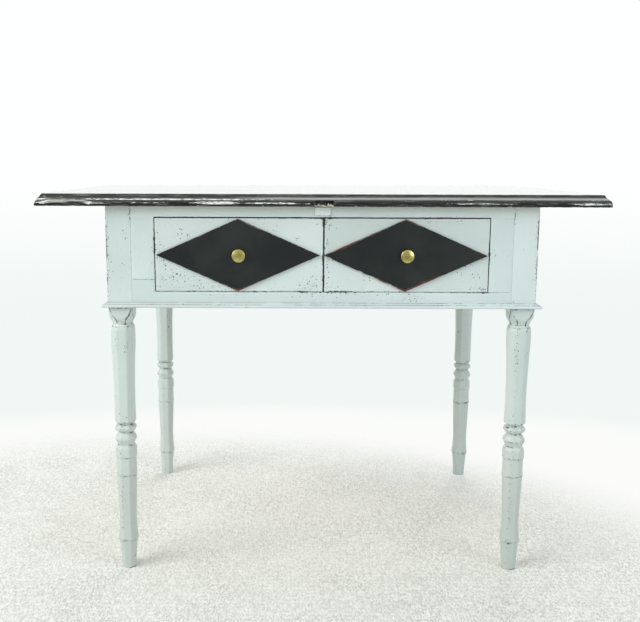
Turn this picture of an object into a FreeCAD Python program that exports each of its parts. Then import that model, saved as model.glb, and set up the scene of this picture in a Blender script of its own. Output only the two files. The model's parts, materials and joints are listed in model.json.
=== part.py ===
import FreeCAD, Part
import math
import os
import types

import Sketcher
from FreeCAD import Placement, Rotation, Vector

# Painted kitchen table with two drawers, in millimetres.
# +Z is up, the drawers open towards -Y, and the origin is on the floor under the table's middle.
# The frame is four posts, whose lower ends are carved into eight-sided legs, with aprons on the
# sides and the back and a drawer front of two rails and two stiles. Everything is tenoned or
# housed together, and the top is three boards held by screws and glue blocks.

SIZES = {
    # the whole table
    "table_height": 760.0,
    "top_thickness": 23.0,
    "apron_height": 195.0,
    "frame_length": 824.6,
    "frame_depth": 603.2,
    "overhang_side": 129.2,
    "overhang_front": 21.9,
    # posts and boards of the frame
    "post_width": 47.5,
    "apron_thickness": 24.0,
    "rail_depth": 45.0,
    "top_rail_height": 21.0,
    "bottom_rail_height": 31.0,
    "stile_width": 44.6,
    "stile_thickness": 26.0,
    "left_shoulder_height": 23.4,
    # joints of the frame
    "tenon_thickness": 10.0,
    "tenon_length": 22.0,
    "tenon_setback": 7.0,
    "tenon_shoulder": 9.0,
    "mortise_slack": 1.0,
    "stile_tenon_length": 8.0,
    "stile_tenon_inset": 8.0,
    "housing_depth": 8.0,
    "peg_radius": 4.0,
    "peg_length": 26.0,
    "peg_setback": 11.0,
    "peg_end_distance": 45.0,
    # fit of a round pin, nail or screw in its hole, on the radius
    "pin_clearance": 0.1,
    # the carved leg: widths across its flat faces, and heights above the floor
    "foot_width": 26.4,
    "foot_neck_width": 31.4,
    "foot_neck_height": 43.0,
    "ankle_width": 38.2,
    "ankle_height": 61.5,
    "calf_width": 32.0,
    "calf_height": 111.0,
    "knee_width": 37.6,
    "knee_height": 192.0,
    "thin_lip_width": 40.4,
    "thin_lip_height": 199.5,
    "lip_width": 40.4,
    "lip_height": 236.5,
    "lip_step": 1.5,
    "swell_width": 40.2,
    "swell_height": 248.0,
    "low_groove_width": 32.6,
    "low_groove_height": 261.0,
    "band_width": 36.2,
    "band_height": 267.0,
    "large_ring_width": 41.4,
    "large_ring_height": 272.0,
    "mid_groove_width": 27.6,
    "mid_groove_height": 286.5,
    "small_ring_width": 41.0,
    "small_ring_height": 295.5,
    "high_groove_width": 30.0,
    "high_groove_height": 303.5,
    "groove_flat": 1.6,
    "shaft_end_width": 39.8,
    "shaft_end_height": 309.0,
    "waist_width": 38.3,
    "waist_height": 385.0,
    # the top of the leg: heights below the apron's lower edge
    "shaft_head_width": 44.6,
    "shaft_head_drop": 72.0,
    "shoulder_width": 44.4,
    "shoulder_drop": 52.0,
    "neck_width": 36.2,
    "neck_drop": 34.5,
    "capital_base_width": 40.6,
    "capital_base_drop": 29.0,
    "capital_ledge": 0.2,
    "capital_side_drop": 16.0,
    "capital_corner_width": 56.0,
    "capital_corner_drop": 17.5,
    "corner_facet_ratio": 1.02,
    # moulding round the frame's lower edge: a half-round bead under a slope
    "moulding_height": 10.0,
    "moulding_projection": 10.2,
    "moulding_bead_height": 6.0,
    "moulding_quirk": 0.8,
    "moulding_top_ledge": 1.5,
    # boards and moulded edge of the top
    "tongue_thickness": 7.0,
    "tongue_length": 7.0,
    "tongue_slack": 0.5,
    "edge_inset": 12.0,
    "edge_step_inset": 4.2,
    "edge_step_height": 13.3,
    "edge_step_width": 1.1,
    "edge_nose_flat": 4.5,
    "edge_cove": 0.7,
    "edge_undercut": 1.2,
    # metal strap under the middle of the front edge, and the notch above it
    "strap_center": 1.4,
    "strap_width": 31.0,
    "strap_height": 17.5,
    "strap_reach": 14.5,
    "strap_thickness": 2.4,
    "notch_center": 3.2,
    "notch_width": 35.5,
    "notch_height": 11.5,
    "notch_depth": 11.0,
    # strips that carry and guide the drawers
    "runner_width": 64.0,
    "runner_thickness": 20.0,
    "guide_width": 30.0,
    "guide_height": 30.0,
    "divider_thickness": 14.0,
    "stop_height": 5.0,
    "stop_width": 30.0,
    "stop_depth": 16.0,
    "stop_clearance": 0.3,
    "glue_block_width": 20.0,
    "glue_block_length": 60.0,
    "glue_block_pitch": 165.0,
    # drawers
    "drawer_split": 3.5,
    "split_gap": 2.4,
    "side_gap": 1.2,
    "top_gap": 1.8,
    "bottom_gap": 0.5,
    "running_gap": 0.4,
    "side_top_gap": 3.0,
    "divider_gap": 1.0,
    "front_thickness": 20.0,
    "front_lap": 8.0,
    "drawer_back_space": 34.2,
    "side_thickness": 12.0,
    "tail_width": 20.0,
    "tail_flare": 2.0,
    "panel_thickness": 6.5,
    "panel_lift": 8.0,
    "groove_depth": 6.0,
    "back_thickness": 12.0,
    "back_inset": 6.0,
    "back_drop": 8.0,
    "back_housing": 4.0,
    # lozenges and knobs
    "lozenge_width": 313.0,
    "lozenge_height": 138.8,
    "lozenge_thickness": 5.0,
    "lozenge_bevel": 1.4,
    "lozenge_shift": 1.9,
    "knob_radius": 12.9,
    "knob_edge": 4.2,
    "knob_dish": 0.9,
    "knob_reach": 16.0,
    "neck_radius": 5.2,
    "knob_base_radius": 8.0,
    "knob_base_thickness": 2.0,
    "stem_radius": 2.5,
    "washer_radius": 7.5,
    "washer_thickness": 1.2,
    "nut_width": 9.0,
    "nut_thickness": 4.0,
    "stem_tail": 1.5,
    # nails and screws
    "nail_radius": 1.1,
    "nail_length": 24.0,
    "nail_head_radius": 2.4,
    "nail_head_thickness": 0.8,
    "nail_pitch": 100.0,
    "screw_end_distance": 92.0,
    "screw_radius": 2.2,
    "screw_length": 36.0,
    "screw_head_radius": 4.4,
    "screw_head_thickness": 2.6,
    "strap_screw_radius": 1.4,
    "strap_screw_length": 15.0,
    "strap_screw_spacing": 15.0,
}

DRAWER_TAILS = 3
DRAWER_NAILS = 3
GLUE_BLOCKS_PER_SIDE = 3
HALF_DIAGONAL = math.sqrt(0.5)      # centre-to-corner distance of a square of side 1
ARC_CORNER = 1 - HALF_DIAGONAL      # how far the middle of a rounding of radius 1 is from its corner


class Size:
    """A length together with the spreadsheet formula that it is worked out by."""

    def __init__(self, value, formula):
        self.value = value
        self.formula = formula

    def joined(self, sign, other, value):
        return Size(value, f"({self.formula} {sign} {other.formula})")

    def __add__(self, other):
        other = as_size(other)
        return self.joined("+", other, self.value + other.value)

    def __sub__(self, other):
        other = as_size(other)
        return self.joined("-", other, self.value - other.value)

    def __mul__(self, other):
        other = as_size(other)
        return self.joined("*", other, self.value * other.value)

    def __truediv__(self, other):
        other = as_size(other)
        return self.joined("/", other, self.value / other.value)

    def __neg__(self):
        return as_size(0) - self

    def __rmul__(self, other):
        return as_size(other) * self


def as_size(number):
    """A plain number as a Size, and a Size as it is."""
    if isinstance(number, Size):
        return number
    return Size(float(number), repr(float(number)))


def middle(one, other):
    """Halfway between two sizes."""
    return (as_size(one) + other) / 2


doc = FreeCAD.newDocument("KitchenTable")
sheet = doc.addObject("Spreadsheet::Sheet", "Sizes")
for row, (alias, number) in enumerate(SIZES.items(), start=1):
    sheet.set(f"A{row}", alias)
    sheet.set(f"B{row}", str(number))
    sheet.setAlias(f"B{row}", alias)
doc.recompute()

S = types.SimpleNamespace(**{alias: Size(number, f"Sizes.{alias}") for alias, number in SIZES.items()})

# Planes and edges that many pieces share
half_length = S.frame_length / 2
half_depth = S.frame_depth / 2
post_half = S.post_width / 2
post_inner_x = half_length - S.post_width
post_inner_y = half_depth - S.post_width
top_under = as_size(S.table_height) - S.top_thickness
apron_under = top_under - S.apron_height
opening_floor = apron_under + S.bottom_rail_height
opening_ceiling = top_under - S.top_rail_height
opening_half = post_inner_x - S.stile_width
rail_back_y = S.rail_depth - half_depth
apron_inner_x = half_length - S.apron_thickness
apron_inner_y = half_depth - S.apron_thickness
top_half_length = half_length + S.overhang_side
top_half_depth = half_depth + S.overhang_front
tenon_outer = S.tenon_setback
tenon_inner = S.tenon_setback + S.tenon_thickness
lozenge_front_y = -half_depth - S.lozenge_thickness


# ---------------------------------------------------------------- modelling helpers

def bind(item, prop, size):
    """Ties a property to the sheet formula of a size."""
    item.setExpression(prop, as_size(size).formula)


def origin_feature(body, role):
    """One of a body's own origin planes or axes."""
    return next(part for part in body.Origin.OriginFeatures if part.Role == role)


def new_body(label, at=(0, 0, 0), turn=0):
    """A new body for one piece, placed at a point and turned about the vertical."""
    body = doc.addObject("PartDesign::Body", label)
    body.Label = label
    body.Placement = Placement(Vector(0, 0, 0), Rotation(Vector(0, 0, 1), turn))
    for axis, size in zip("xyz", at):
        bind(body, f".Placement.Base.{axis}", size)
    return body


def add_vertex_rule(sketch, edge, vertex, point):
    """Fixes one end of a sketch edge, or a sketch point, at a point given by two sizes."""
    for kind, size in zip(("DistanceX", "DistanceY"), point):
        size = as_size(size)
        rule = sketch.addConstraint(Sketcher.Constraint(kind, -1, 1, edge, vertex, size.value))
        sketch.setExpression(f"Constraints[{rule}]", size.formula)


def arc_through(first, mid, last):
    """The arc through three points, and whether it runs clockwise from first to last."""
    flat = [Vector(as_size(x).value, as_size(y).value, 0) for x, y in (first, mid, last)]
    circle = Part.Circle(*flat)
    center = circle.Center
    clockwise = (flat[1] - flat[0]).cross(flat[2] - flat[1]).z < 0
    start, end = (flat[2], flat[0]) if clockwise else (flat[0], flat[2])
    angles = [math.atan2(point.y - center.y, point.x - center.x) for point in (start, end)]
    return Part.ArcOfCircle(Part.Circle(center, Vector(0, 0, 1), circle.Radius), *angles), clockwise


def closed_sketch(body, label, role, steps):
    """A closed outline on an origin plane of the body.

    Each step ends at its last two sizes. A step of four sizes is an arc through its first two,
    and a step of two sizes is a straight line.
    """
    sketch = body.newObject("Sketcher::SketchObject", label)
    sketch.AttachmentSupport = [(origin_feature(body, role), "")]
    sketch.MapMode = "FlatFace"
    edges = []
    for index, step in enumerate(steps):
        before, after = steps[index - 1][-2:], step[-2:]
        if len(step) == 4:
            geometry, backwards = arc_through(before, step[:2], after)
        else:
            ends = [Vector(as_size(x).value, as_size(y).value, 0) for x, y in (before, after)]
            geometry, backwards = Part.LineSegment(*ends), False
        number = sketch.addGeometry(geometry, False)
        edges.append((number, 2, 1) if backwards else (number, 1, 2))
    for index, (number, start, end) in enumerate(edges):
        following, following_start, _ = edges[(index + 1) % len(edges)]
        sketch.addConstraint(Sketcher.Constraint("Coincident", number, end, following, following_start))
        add_vertex_rule(sketch, number, end, steps[index][-2:])
        if len(steps[index]) == 4:
            mid = steps[index][:2]
            spot = Vector(as_size(mid[0]).value, as_size(mid[1]).value, 0)
            on_arc = sketch.addGeometry(Part.Point(spot), True)
            sketch.addConstraint(Sketcher.Constraint("PointOnObject", on_arc, 1, number))
            add_vertex_rule(sketch, on_arc, 1, mid)
    return sketch


# Origin plane of each name, and whether its normal points along the axis or against it
PLANES = {"XY": ("XY_Plane", 1), "XZ": ("XZ_Plane", -1), "YZ": ("YZ_Plane", 1)}


def prism(body, kind, label, plane, steps, low, high):
    """A Pad or Pocket of an outline, from one coordinate to another across its plane."""
    role, facing = PLANES[plane]
    near, far = (as_size(low), as_size(high)) if facing > 0 else (-as_size(high), -as_size(low))
    sketch = closed_sketch(body, f"{label}_outline", role, steps)
    bind(sketch, "AttachmentOffset.Base.z", near if kind == "Pad" else far)
    feature = body.newObject(f"PartDesign::{kind}", label)
    feature.Profile = sketch
    bind(feature, "Length", far - near)
    return feature


def block(body, kind, label, low, high):
    """An Additive or Subtractive box between two opposite corners."""
    feature = body.newObject(f"PartDesign::{kind}Box", label)
    for prop, axis, one, other in zip(("Length", "Width", "Height"), "xyz", low, high):
        small, large = sorted((as_size(one), as_size(other)), key=lambda size: size.value)
        bind(feature, prop, large - small)
        bind(feature, f".Placement.Base.{axis}", small)
    return feature


# Turns that point a cylinder's own +Z axis along each direction
TURNS = {
    "+X": Rotation(Vector(0, 1, 0), 90),
    "-X": Rotation(Vector(0, 1, 0), -90),
    "+Y": Rotation(Vector(1, 0, 0), -90),
    "-Y": Rotation(Vector(1, 0, 0), 90),
    "+Z": Rotation(),
    "-Z": Rotation(Vector(1, 0, 0), 180),
}


def place(item, at, direction):
    """Puts a round piece's end at a point, with its axis along a direction."""
    item.Placement = Placement(Vector(0, 0, 0), TURNS[direction])
    for axis, size in zip("xyz", at):
        bind(item, f".Placement.Base.{axis}", size)


def hole(body, label, at, direction, radius, depth):
    """A round hole from a point along a direction."""
    feature = body.newObject("PartDesign::SubtractiveCylinder", label)
    place(feature, at, direction)
    bind(feature, "Radius", radius)
    bind(feature, "Height", depth)
    return feature


def rod(label, at, direction, radius, length):
    """A plain round rod, as a part of a group."""
    item = doc.addObject("Part::Cylinder", label)
    place(item, at, direction)
    bind(item, "Radius", radius)
    bind(item, "Height", length)
    return item


def headed_pin(label, at, direction, radius, length, head_radius, head_thickness):
    """A nail or screw: a flat round head at a point and a shank beyond it."""
    head = rod(f"{label}_head", at, direction, head_radius, head_thickness)
    shank = rod(f"{label}_shank", at, direction, radius, length)
    pin = doc.addObject("Part::Fuse", label)
    pin.Base = head
    pin.Tool = shank
    return pin


def group(label, members):
    """Several separate solids as one node."""
    item = doc.addObject("Part::Compound", label)
    item.Label = label
    item.Links = members
    return item


def spread(count, pitch):
    """Positions of evenly spaced copies about zero."""
    return [pitch * (index - (count - 1) / 2) for index in range(count)]


# ---------------------------------------------------------------- legs

def shaft_profile(ratio):
    """Half widths of the carved leg from the floor to its shoulder, times a ratio."""

    def half(width):
        return width / 2 * ratio

    def ledge(width, height):
        """A lip that steps in below itself."""
        return [(half(width - 2 * S.lip_step), height - S.lip_step), (half(width), height)]

    def rounding(width, height, next_width, next_height):
        """A convex stretch between two heights, as an arc that bulges by the step of a lip."""
        return (half(middle(width, next_width) + 2 * S.lip_step), middle(height, next_height),
                half(next_width), next_height)

    shaft_head = apron_under - S.shaft_head_drop
    shoulder = apron_under - S.shoulder_drop
    neck = apron_under - S.neck_drop
    low_groove, mid_groove, high_groove = S.low_groove_height, S.mid_groove_height, S.high_groove_height
    groove_half = S.groove_flat / 2
    return [
        (half(S.foot_width), 0),
        (half(S.foot_neck_width), S.foot_neck_height),
        *ledge(S.ankle_width, S.ankle_height),
        (half(S.calf_width + S.lip_step), middle(S.ankle_height, S.calf_height),
         half(S.calf_width), S.calf_height),
        (half(S.knee_width), S.knee_height),
        *ledge(S.thin_lip_width, S.thin_lip_height),
        (half(S.knee_width + S.lip_step / 2), S.thin_lip_height + 2 * S.lip_step),
        (half(S.knee_width), middle(S.thin_lip_height, S.lip_height) - S.lip_step),
        *ledge(S.lip_width, S.lip_height),
        (half(S.swell_width), S.swell_height),
        rounding(S.swell_width, S.swell_height, S.low_groove_width, low_groove - groove_half),
        (half(S.low_groove_width), low_groove + groove_half),
        (half(S.band_width), S.band_height),
        (half(S.large_ring_width), S.large_ring_height),
        rounding(S.large_ring_width, S.large_ring_height, S.mid_groove_width, mid_groove - groove_half),
        (half(S.mid_groove_width), mid_groove + groove_half),
        rounding(S.mid_groove_width, mid_groove, S.small_ring_width, S.small_ring_height),
        rounding(S.small_ring_width, S.small_ring_height, S.high_groove_width, high_groove - groove_half),
        (half(S.high_groove_width), high_groove + groove_half),
        *ledge(S.shaft_end_width, S.shaft_end_height),
        (half(S.waist_width), S.waist_height, half(S.shaft_head_width), shaft_head),
        (half(S.shoulder_width), shoulder),
        rounding(S.shoulder_width, shoulder, S.neck_width, neck),
    ]


def face_profile():
    """Half width of a leg's flat faces, with the rounded capital under the post."""
    top = post_half - S.capital_ledge
    base, base_z = S.capital_base_width / 2, apron_under - S.capital_base_drop
    side_z = apron_under - S.capital_side_drop
    return shaft_profile(1) + [
        (base, base_z),
        (top - (top - base) * ARC_CORNER, base_z + (side_z - base_z) * ARC_CORNER, top, side_z),
        (top, apron_under),
    ]


def corner_profile():
    """Half width across a leg's corners; in the capital it runs out to the post's own corners."""
    return shaft_profile(S.corner_facet_ratio) + [
        (S.capital_base_width / 2, apron_under - S.capital_base_drop),
        (S.capital_corner_width / 2, apron_under - S.capital_corner_drop),
        (S.post_width * HALF_DIAGONAL, apron_under),
    ]


def carve(body, label, profile, turn):
    """Cuts the waste outside a profile from both sides of the leg, four times round it."""
    steps = profile + [(S.post_width, apron_under), (S.post_width, 0)]
    sketch = closed_sketch(body, f"{label}_outline", "XZ_Plane", steps)
    sketch.AttachmentOffset = Placement(Vector(0, 0, 0), Rotation(Vector(0, 1, 0), turn))
    waste = body.newObject("PartDesign::Pocket", label)
    waste.Profile = sketch
    waste.SideType = "Symmetric"
    bind(waste, "Length", 2 * S.post_width)
    around = body.newObject("PartDesign::PolarPattern", f"{label}_around")
    around.Originals = [waste]
    around.Axis = (origin_feature(body, "Z_Axis"), [""])
    around.Angle = 360
    around.Occurrences = 4
    body.Tip = around


side_tenon_span = (apron_under + S.tenon_shoulder, top_under - S.tenon_shoulder)
top_rail_tenon_span = (opening_ceiling, top_under - S.tenon_shoulder)
bottom_rail_tenon_span = (apron_under + S.tenon_shoulder, opening_floor)
peg_heights = [apron_under + S.peg_end_distance, top_under - S.peg_end_distance]


def leg(label, side, face):
    """A post with its carved leg; side and face are the signs of its X and Y."""
    body = new_body(label, at=(side * (half_length - post_half), face * (half_depth - post_half), 0))
    block(body, "Additive", f"{label}_post", (-post_half, -post_half, 0), (post_half, post_half, top_under))
    carve(body, f"{label}_faces", face_profile(), 0)
    carve(body, f"{label}_corners", corner_profile(), 45)

    mortise_end = post_half - S.tenon_length - S.mortise_slack
    across = (post_half - tenon_outer, post_half - tenon_inner)
    spans = [top_rail_tenon_span, bottom_rail_tenon_span] if face < 0 else [side_tenon_span]
    for low, high in spans:
        block(body, "Subtractive", f"{label}_rail_mortise",
              (-side * post_half, face * across[0], low), (-side * mortise_end, face * across[1], high))
    low, high = side_tenon_span
    block(body, "Subtractive", f"{label}_side_mortise",
          (side * across[0], -face * post_half, low), (side * across[1], -face * mortise_end, high))

    peg_offset = post_half - S.peg_setback
    radius = S.peg_radius + S.pin_clearance
    depth = S.peg_length + S.mortise_slack
    for height in peg_heights:
        hole(body, f"{label}_side_peg_hole", (side * post_half, -face * peg_offset, height),
             "-X" if side > 0 else "+X", radius, depth)
        if face > 0:
            hole(body, f"{label}_back_peg_hole", (-side * peg_offset, post_half, height - 2 * S.peg_setback),
                 "-Y", radius, depth)


LEGS = {
    "leg_front_left": (-1, -1),
    "leg_front_right": (1, -1),
    "leg_back_left": (-1, 1),
    "leg_back_right": (1, 1),
}
for leg_label, (leg_side, leg_face) in LEGS.items():
    leg(leg_label, leg_side, leg_face)


# ---------------------------------------------------------------- aprons, rails and stiles

def tenons(body, label, along, run, across, span):
    """A tenon on each end of a board that runs along X or Y between two posts."""
    for end in (-1, 1):
        low = [None, None, span[0]]
        high = [None, None, span[1]]
        low[along], high[along] = end * run, end * (run + S.tenon_length)
        low[1 - along], high[1 - along] = across
        block(body, "Additive", f"{label}_tenon", low, high)


def side_apron(label, side):
    """The board between the front and back posts of one side."""
    body = new_body(label)
    outer, inner = side * half_length, side * apron_inner_x
    block(body, "Additive", f"{label}_board", (inner, -post_inner_y, apron_under),
          (outer, post_inner_y, top_under))
    across = (side * (half_length - tenon_outer), side * (half_length - tenon_inner))
    tenons(body, label, 1, post_inner_y, across, side_tenon_span)
    for face in (-1, 1):
        for height in peg_heights:
            hole(body, f"{label}_peg_hole", (outer, face * (post_inner_y + S.peg_setback), height),
                 "-X" if side > 0 else "+X", S.peg_radius + S.pin_clearance, S.peg_length)


side_apron("apron_left", -1)
side_apron("apron_right", 1)

# Each drawer strip's edges along X: the outer two end at the posts, the middle one under the split
STRIPS = {
    "left": (-post_inner_x, S.runner_width - post_inner_x),
    "centre": (S.drawer_split - S.runner_width / 2, S.drawer_split + S.runner_width / 2),
    "right": (post_inner_x - S.runner_width, post_inner_x),
}
runner_span = (opening_floor - S.runner_thickness, opening_floor)
kicker_span = (opening_ceiling, top_under)
divider_x = (S.drawer_split - S.divider_thickness / 2, S.drawer_split + S.divider_thickness / 2)
strip_front_y = rail_back_y - S.housing_depth
strip_back_y = apron_inner_y + S.housing_depth

back = new_body("apron_back")
block(back, "Additive", "apron_back_board", (-post_inner_x, apron_inner_y, apron_under),
      (post_inner_x, half_depth, top_under))
tenons(back, "apron_back", 0, post_inner_x, (half_depth - tenon_outer, half_depth - tenon_inner),
       side_tenon_span)
for strip_low, strip_high in STRIPS.values():
    for span_low, span_high in (runner_span, kicker_span):
        block(back, "Subtractive", "apron_back_housing", (strip_low, apron_inner_y, span_low),
              (strip_high, strip_back_y, span_high))
block(back, "Subtractive", "apron_back_divider_housing", (divider_x[0], apron_inner_y, opening_floor),
      (divider_x[1], strip_back_y, opening_ceiling))
for end_side in (-1, 1):
    for peg_height in peg_heights:
        hole(back, "apron_back_peg_hole",
             (end_side * (post_inner_x + S.peg_setback), half_depth, peg_height - 2 * S.peg_setback),
             "-Y", S.peg_radius + S.pin_clearance, S.peg_length)

stile_tenon_y = (tenon_outer - half_depth, tenon_inner - half_depth)
stile_tenon_x = (opening_half + S.stile_tenon_inset, post_inner_x - S.stile_tenon_inset)
left_stile_foot = opening_floor + S.left_shoulder_height
stile_feet = {-1: left_stile_foot, 1: opening_floor}

top_rail = new_body("rail_top")
block(top_rail, "Additive", "rail_top_board", (-post_inner_x, -half_depth, opening_ceiling),
      (post_inner_x, rail_back_y, top_under))
tenons(top_rail, "rail_top", 0, post_inner_x, stile_tenon_y, top_rail_tenon_span)
for strip_low, strip_high in STRIPS.values():
    block(top_rail, "Subtractive", "rail_top_housing", (strip_low, strip_front_y, opening_ceiling),
          (strip_high, rail_back_y, top_under))

bottom_rail = new_body("rail_bottom")
block(bottom_rail, "Additive", "rail_bottom_board", (-post_inner_x, -half_depth, apron_under),
      (post_inner_x, rail_back_y, opening_floor))
block(bottom_rail, "Additive", "rail_bottom_shoulder", (-post_inner_x, -half_depth, opening_floor),
      (-opening_half, S.stile_thickness - half_depth, left_stile_foot))
tenons(bottom_rail, "rail_bottom", 0, post_inner_x, stile_tenon_y, bottom_rail_tenon_span)
for strip_low, strip_high in STRIPS.values():
    block(bottom_rail, "Subtractive", "rail_bottom_housing", (strip_low, strip_front_y, runner_span[0]),
          (strip_high, rail_back_y, opening_floor))

for end_side in (-1, 1):
    foot = stile_feet[end_side]
    for rail, mortise_low, mortise_high in (
            (top_rail, opening_ceiling, opening_ceiling + S.stile_tenon_length + S.mortise_slack),
            (bottom_rail, foot - S.stile_tenon_length - S.mortise_slack, foot)):
        block(rail, "Subtractive", f"{rail.Label}_mortise",
              (end_side * stile_tenon_x[0], stile_tenon_y[0], mortise_low),
              (end_side * stile_tenon_x[1], stile_tenon_y[1], mortise_high))


def stile(label, side):
    """The upright between a post and the drawer opening, with a stub tenon at each end."""
    body = new_body(label)
    foot = stile_feet[side]
    block(body, "Additive", f"{label}_board", (side * opening_half, -half_depth, foot),
          (side * post_inner_x, S.stile_thickness - half_depth, opening_ceiling))
    block(body, "Additive", f"{label}_tenon",
          (side * stile_tenon_x[0], stile_tenon_y[0], foot - S.stile_tenon_length),
          (side * stile_tenon_x[1], stile_tenon_y[1], opening_ceiling + S.stile_tenon_length))


stile("stile_left", -1)
stile("stile_right", 1)

pegs = []
for end_side in (-1, 1):
    for end_face in (-1, 1):
        for peg_height in peg_heights:
            start = (end_side * half_length, end_face * (post_inner_y + S.peg_setback), peg_height)
            pegs.append(rod("side_peg", start, "-X" if end_side > 0 else "+X", S.peg_radius, S.peg_length))
    for peg_height in peg_heights:
        start = (end_side * (post_inner_x + S.peg_setback), half_depth, peg_height - 2 * S.peg_setback)
        pegs.append(rod("back_peg", start, "-Y", S.peg_radius, S.peg_length))
group("tenon_pegs", pegs)


# ---------------------------------------------------------------- moulding round the frame's foot

def base_moulding(label, turn, run, face):
    """One side of the moulding: run is its half length on the frame, face its distance from the middle."""
    body = new_body(label, turn=turn)
    end = run + S.moulding_projection
    lip = -face - S.moulding_projection
    bead_radius = S.moulding_bead_height / 2
    bead_top = apron_under + S.moulding_bead_height
    top = apron_under + S.moulding_height
    steps = [
        (-face, apron_under),
        (lip + bead_radius, apron_under),
        (lip, apron_under + bead_radius, lip + bead_radius, bead_top),
        (lip + bead_radius, bead_top + S.moulding_quirk),
        (-face - S.moulding_top_ledge, top - S.moulding_quirk),
        (-face - S.moulding_top_ledge, top),
        (-face, top),
    ]
    prism(body, "Pad", f"{label}_strip", "YZ", steps, -end, end)
    beyond = end + S.moulding_projection
    for side in (-1, 1):
        mitre = [(side * run, -face), (side * end, lip), (side * beyond, lip), (side * beyond, -face)]
        prism(body, "Pocket", f"{label}_mitre", "XY", mitre, apron_under, apron_under + S.moulding_height)


base_moulding("moulding_front", 0, half_length, half_depth)
base_moulding("moulding_right", 90, half_depth, half_length)
base_moulding("moulding_back", 180, half_length, half_depth)
base_moulding("moulding_left", 270, half_depth, half_length)


# ---------------------------------------------------------------- table top

def moulded_edge(sign, face):
    """Outline of what is cut off a board's edge: a cove above a small step above a rounded nose."""
    outside = face + S.edge_inset
    nose_top = S.edge_step_height - S.edge_step_width / 2
    nose_inset = S.edge_step_inset - S.edge_step_width
    profile = [
        (outside, -S.edge_undercut),
        (face - 2 * S.edge_undercut, -S.edge_undercut),
        (face, S.edge_undercut),
        (face, S.edge_nose_flat),
        (face - nose_inset * ARC_CORNER, nose_top - (nose_top - S.edge_nose_flat) * ARC_CORNER,
         face - nose_inset, nose_top),
        (face - S.edge_step_inset, nose_top),
        (face - S.edge_step_inset, S.edge_step_height),
        (face - middle(S.edge_step_inset, S.edge_inset) - S.edge_cove,
         middle(S.edge_step_height, S.top_thickness) - S.edge_cove,
         face - S.edge_inset, S.top_thickness),
        (face - S.edge_inset, S.top_thickness + S.edge_undercut),
        (outside, S.top_thickness + S.edge_undercut),
    ]
    steps = []
    for point in profile:
        steps.append(tuple(
            sign * size if place_in_step % 2 == 0 else top_under + size
            for place_in_step, size in enumerate(point)))
    return steps


plank_width = top_half_depth * 2 / 3
tongue_z = (top_under + (S.top_thickness - S.tongue_thickness) / 2,
            top_under + (S.top_thickness + S.tongue_thickness) / 2)
screw_hole_radius = S.screw_radius + S.pin_clearance
screw_start_z = opening_ceiling
screw_spots = [(end_side * (post_inner_x - S.runner_width / 2), y)
               for end_side in (-1, 1)
               for y in (strip_front_y + S.screw_end_distance, middle(strip_front_y, strip_back_y),
                         strip_back_y - S.screw_end_distance)]


def plank(label, number):
    """Board 0, 1 or 2 of the top, from the front, tongued into the one before it."""
    body = new_body(label)
    front_y = plank_width * number - top_half_depth
    back_y = front_y + plank_width
    block(body, "Additive", f"{label}_board", (-top_half_length, front_y, top_under),
          (top_half_length, back_y, S.table_height))
    tongue_ends = top_half_length - 2 * S.edge_inset
    if number > 0:
        block(body, "Additive", f"{label}_tongue",
              (-tongue_ends, front_y - S.tongue_length, tongue_z[0]), (tongue_ends, front_y, tongue_z[1]))
    if number < 2:
        block(body, "Subtractive", f"{label}_groove",
              (-tongue_ends, back_y - S.tongue_length - S.tongue_slack, tongue_z[0]),
              (tongue_ends, back_y, tongue_z[1]))
    for sign in (-1, 1):
        prism(body, "Pocket", f"{label}_end", "XZ", moulded_edge(sign, top_half_length),
              front_y, back_y)
    if number != 1:
        prism(body, "Pocket", f"{label}_edge", "YZ", moulded_edge(number - 1, top_half_depth),
              -top_half_length, top_half_length)
    for x, y in screw_spots:
        if front_y.value < y.value < back_y.value:
            hole(body, f"{label}_screw_hole", (x, y, screw_start_z), "+Z", screw_hole_radius,
                 S.screw_length + S.pin_clearance)
    return body


front_plank = plank("top_board_front", 0)
plank("top_board_middle", 1)
plank("top_board_back", 2)

notch_half = S.notch_width / 2
notch_back_y = S.notch_depth - top_half_depth
block(front_plank, "Subtractive", "top_board_front_notch",
      (S.notch_center - notch_half, -top_half_depth - S.edge_undercut, top_under - S.edge_undercut),
      (S.notch_center + notch_half, notch_back_y, top_under + S.notch_height))

# The strap is bent once, with a rounding of its own thickness inside the bend
strap = new_body("catch_strap")
strap_front = -half_depth - S.strap_thickness
strap_tip = -half_depth - S.strap_reach
strap_top_face = top_under - S.strap_thickness
bend_start_y = strap_front - S.strap_thickness
bend_reach = S.strap_thickness * ARC_CORNER
prism(strap, "Pad", "catch_strap_bend", "YZ", [
    (-half_depth, top_under - S.strap_height),
    (-half_depth, top_under),
    (strap_tip, top_under),
    (strap_tip, strap_top_face),
    (bend_start_y, strap_top_face),
    (strap_front - bend_reach, strap_top_face - bend_reach,
     strap_front, strap_top_face - S.strap_thickness),
    (strap_front, top_under - S.strap_height),
], S.strap_center - S.strap_width / 2, S.strap_center + S.strap_width / 2)

strap_screw_y = middle(notch_back_y, bend_start_y)
strap_screws = []
for offset in spread(2, S.strap_screw_spacing):
    spot = (S.strap_center + offset, strap_screw_y, strap_top_face)
    for holed in (strap, front_plank):
        hole(holed, f"{holed.Label}_strap_screw_hole", spot, "+Z",
             S.strap_screw_radius + S.pin_clearance, S.strap_screw_length + S.pin_clearance)
    strap_screws.append(rod("strap_screw", spot, "+Z", S.strap_screw_radius, S.strap_screw_length))
group("catch_strap_screws", strap_screws)


# ---------------------------------------------------------------- strips that carry the drawers

def strip(label, edges, span):
    """A board that runs from the front rail to the back apron, housed in both."""
    body = new_body(label)
    block(body, "Additive", f"{label}_board", (edges[0], strip_front_y, span[0]),
          (edges[1], strip_back_y, span[1]))
    return body


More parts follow.
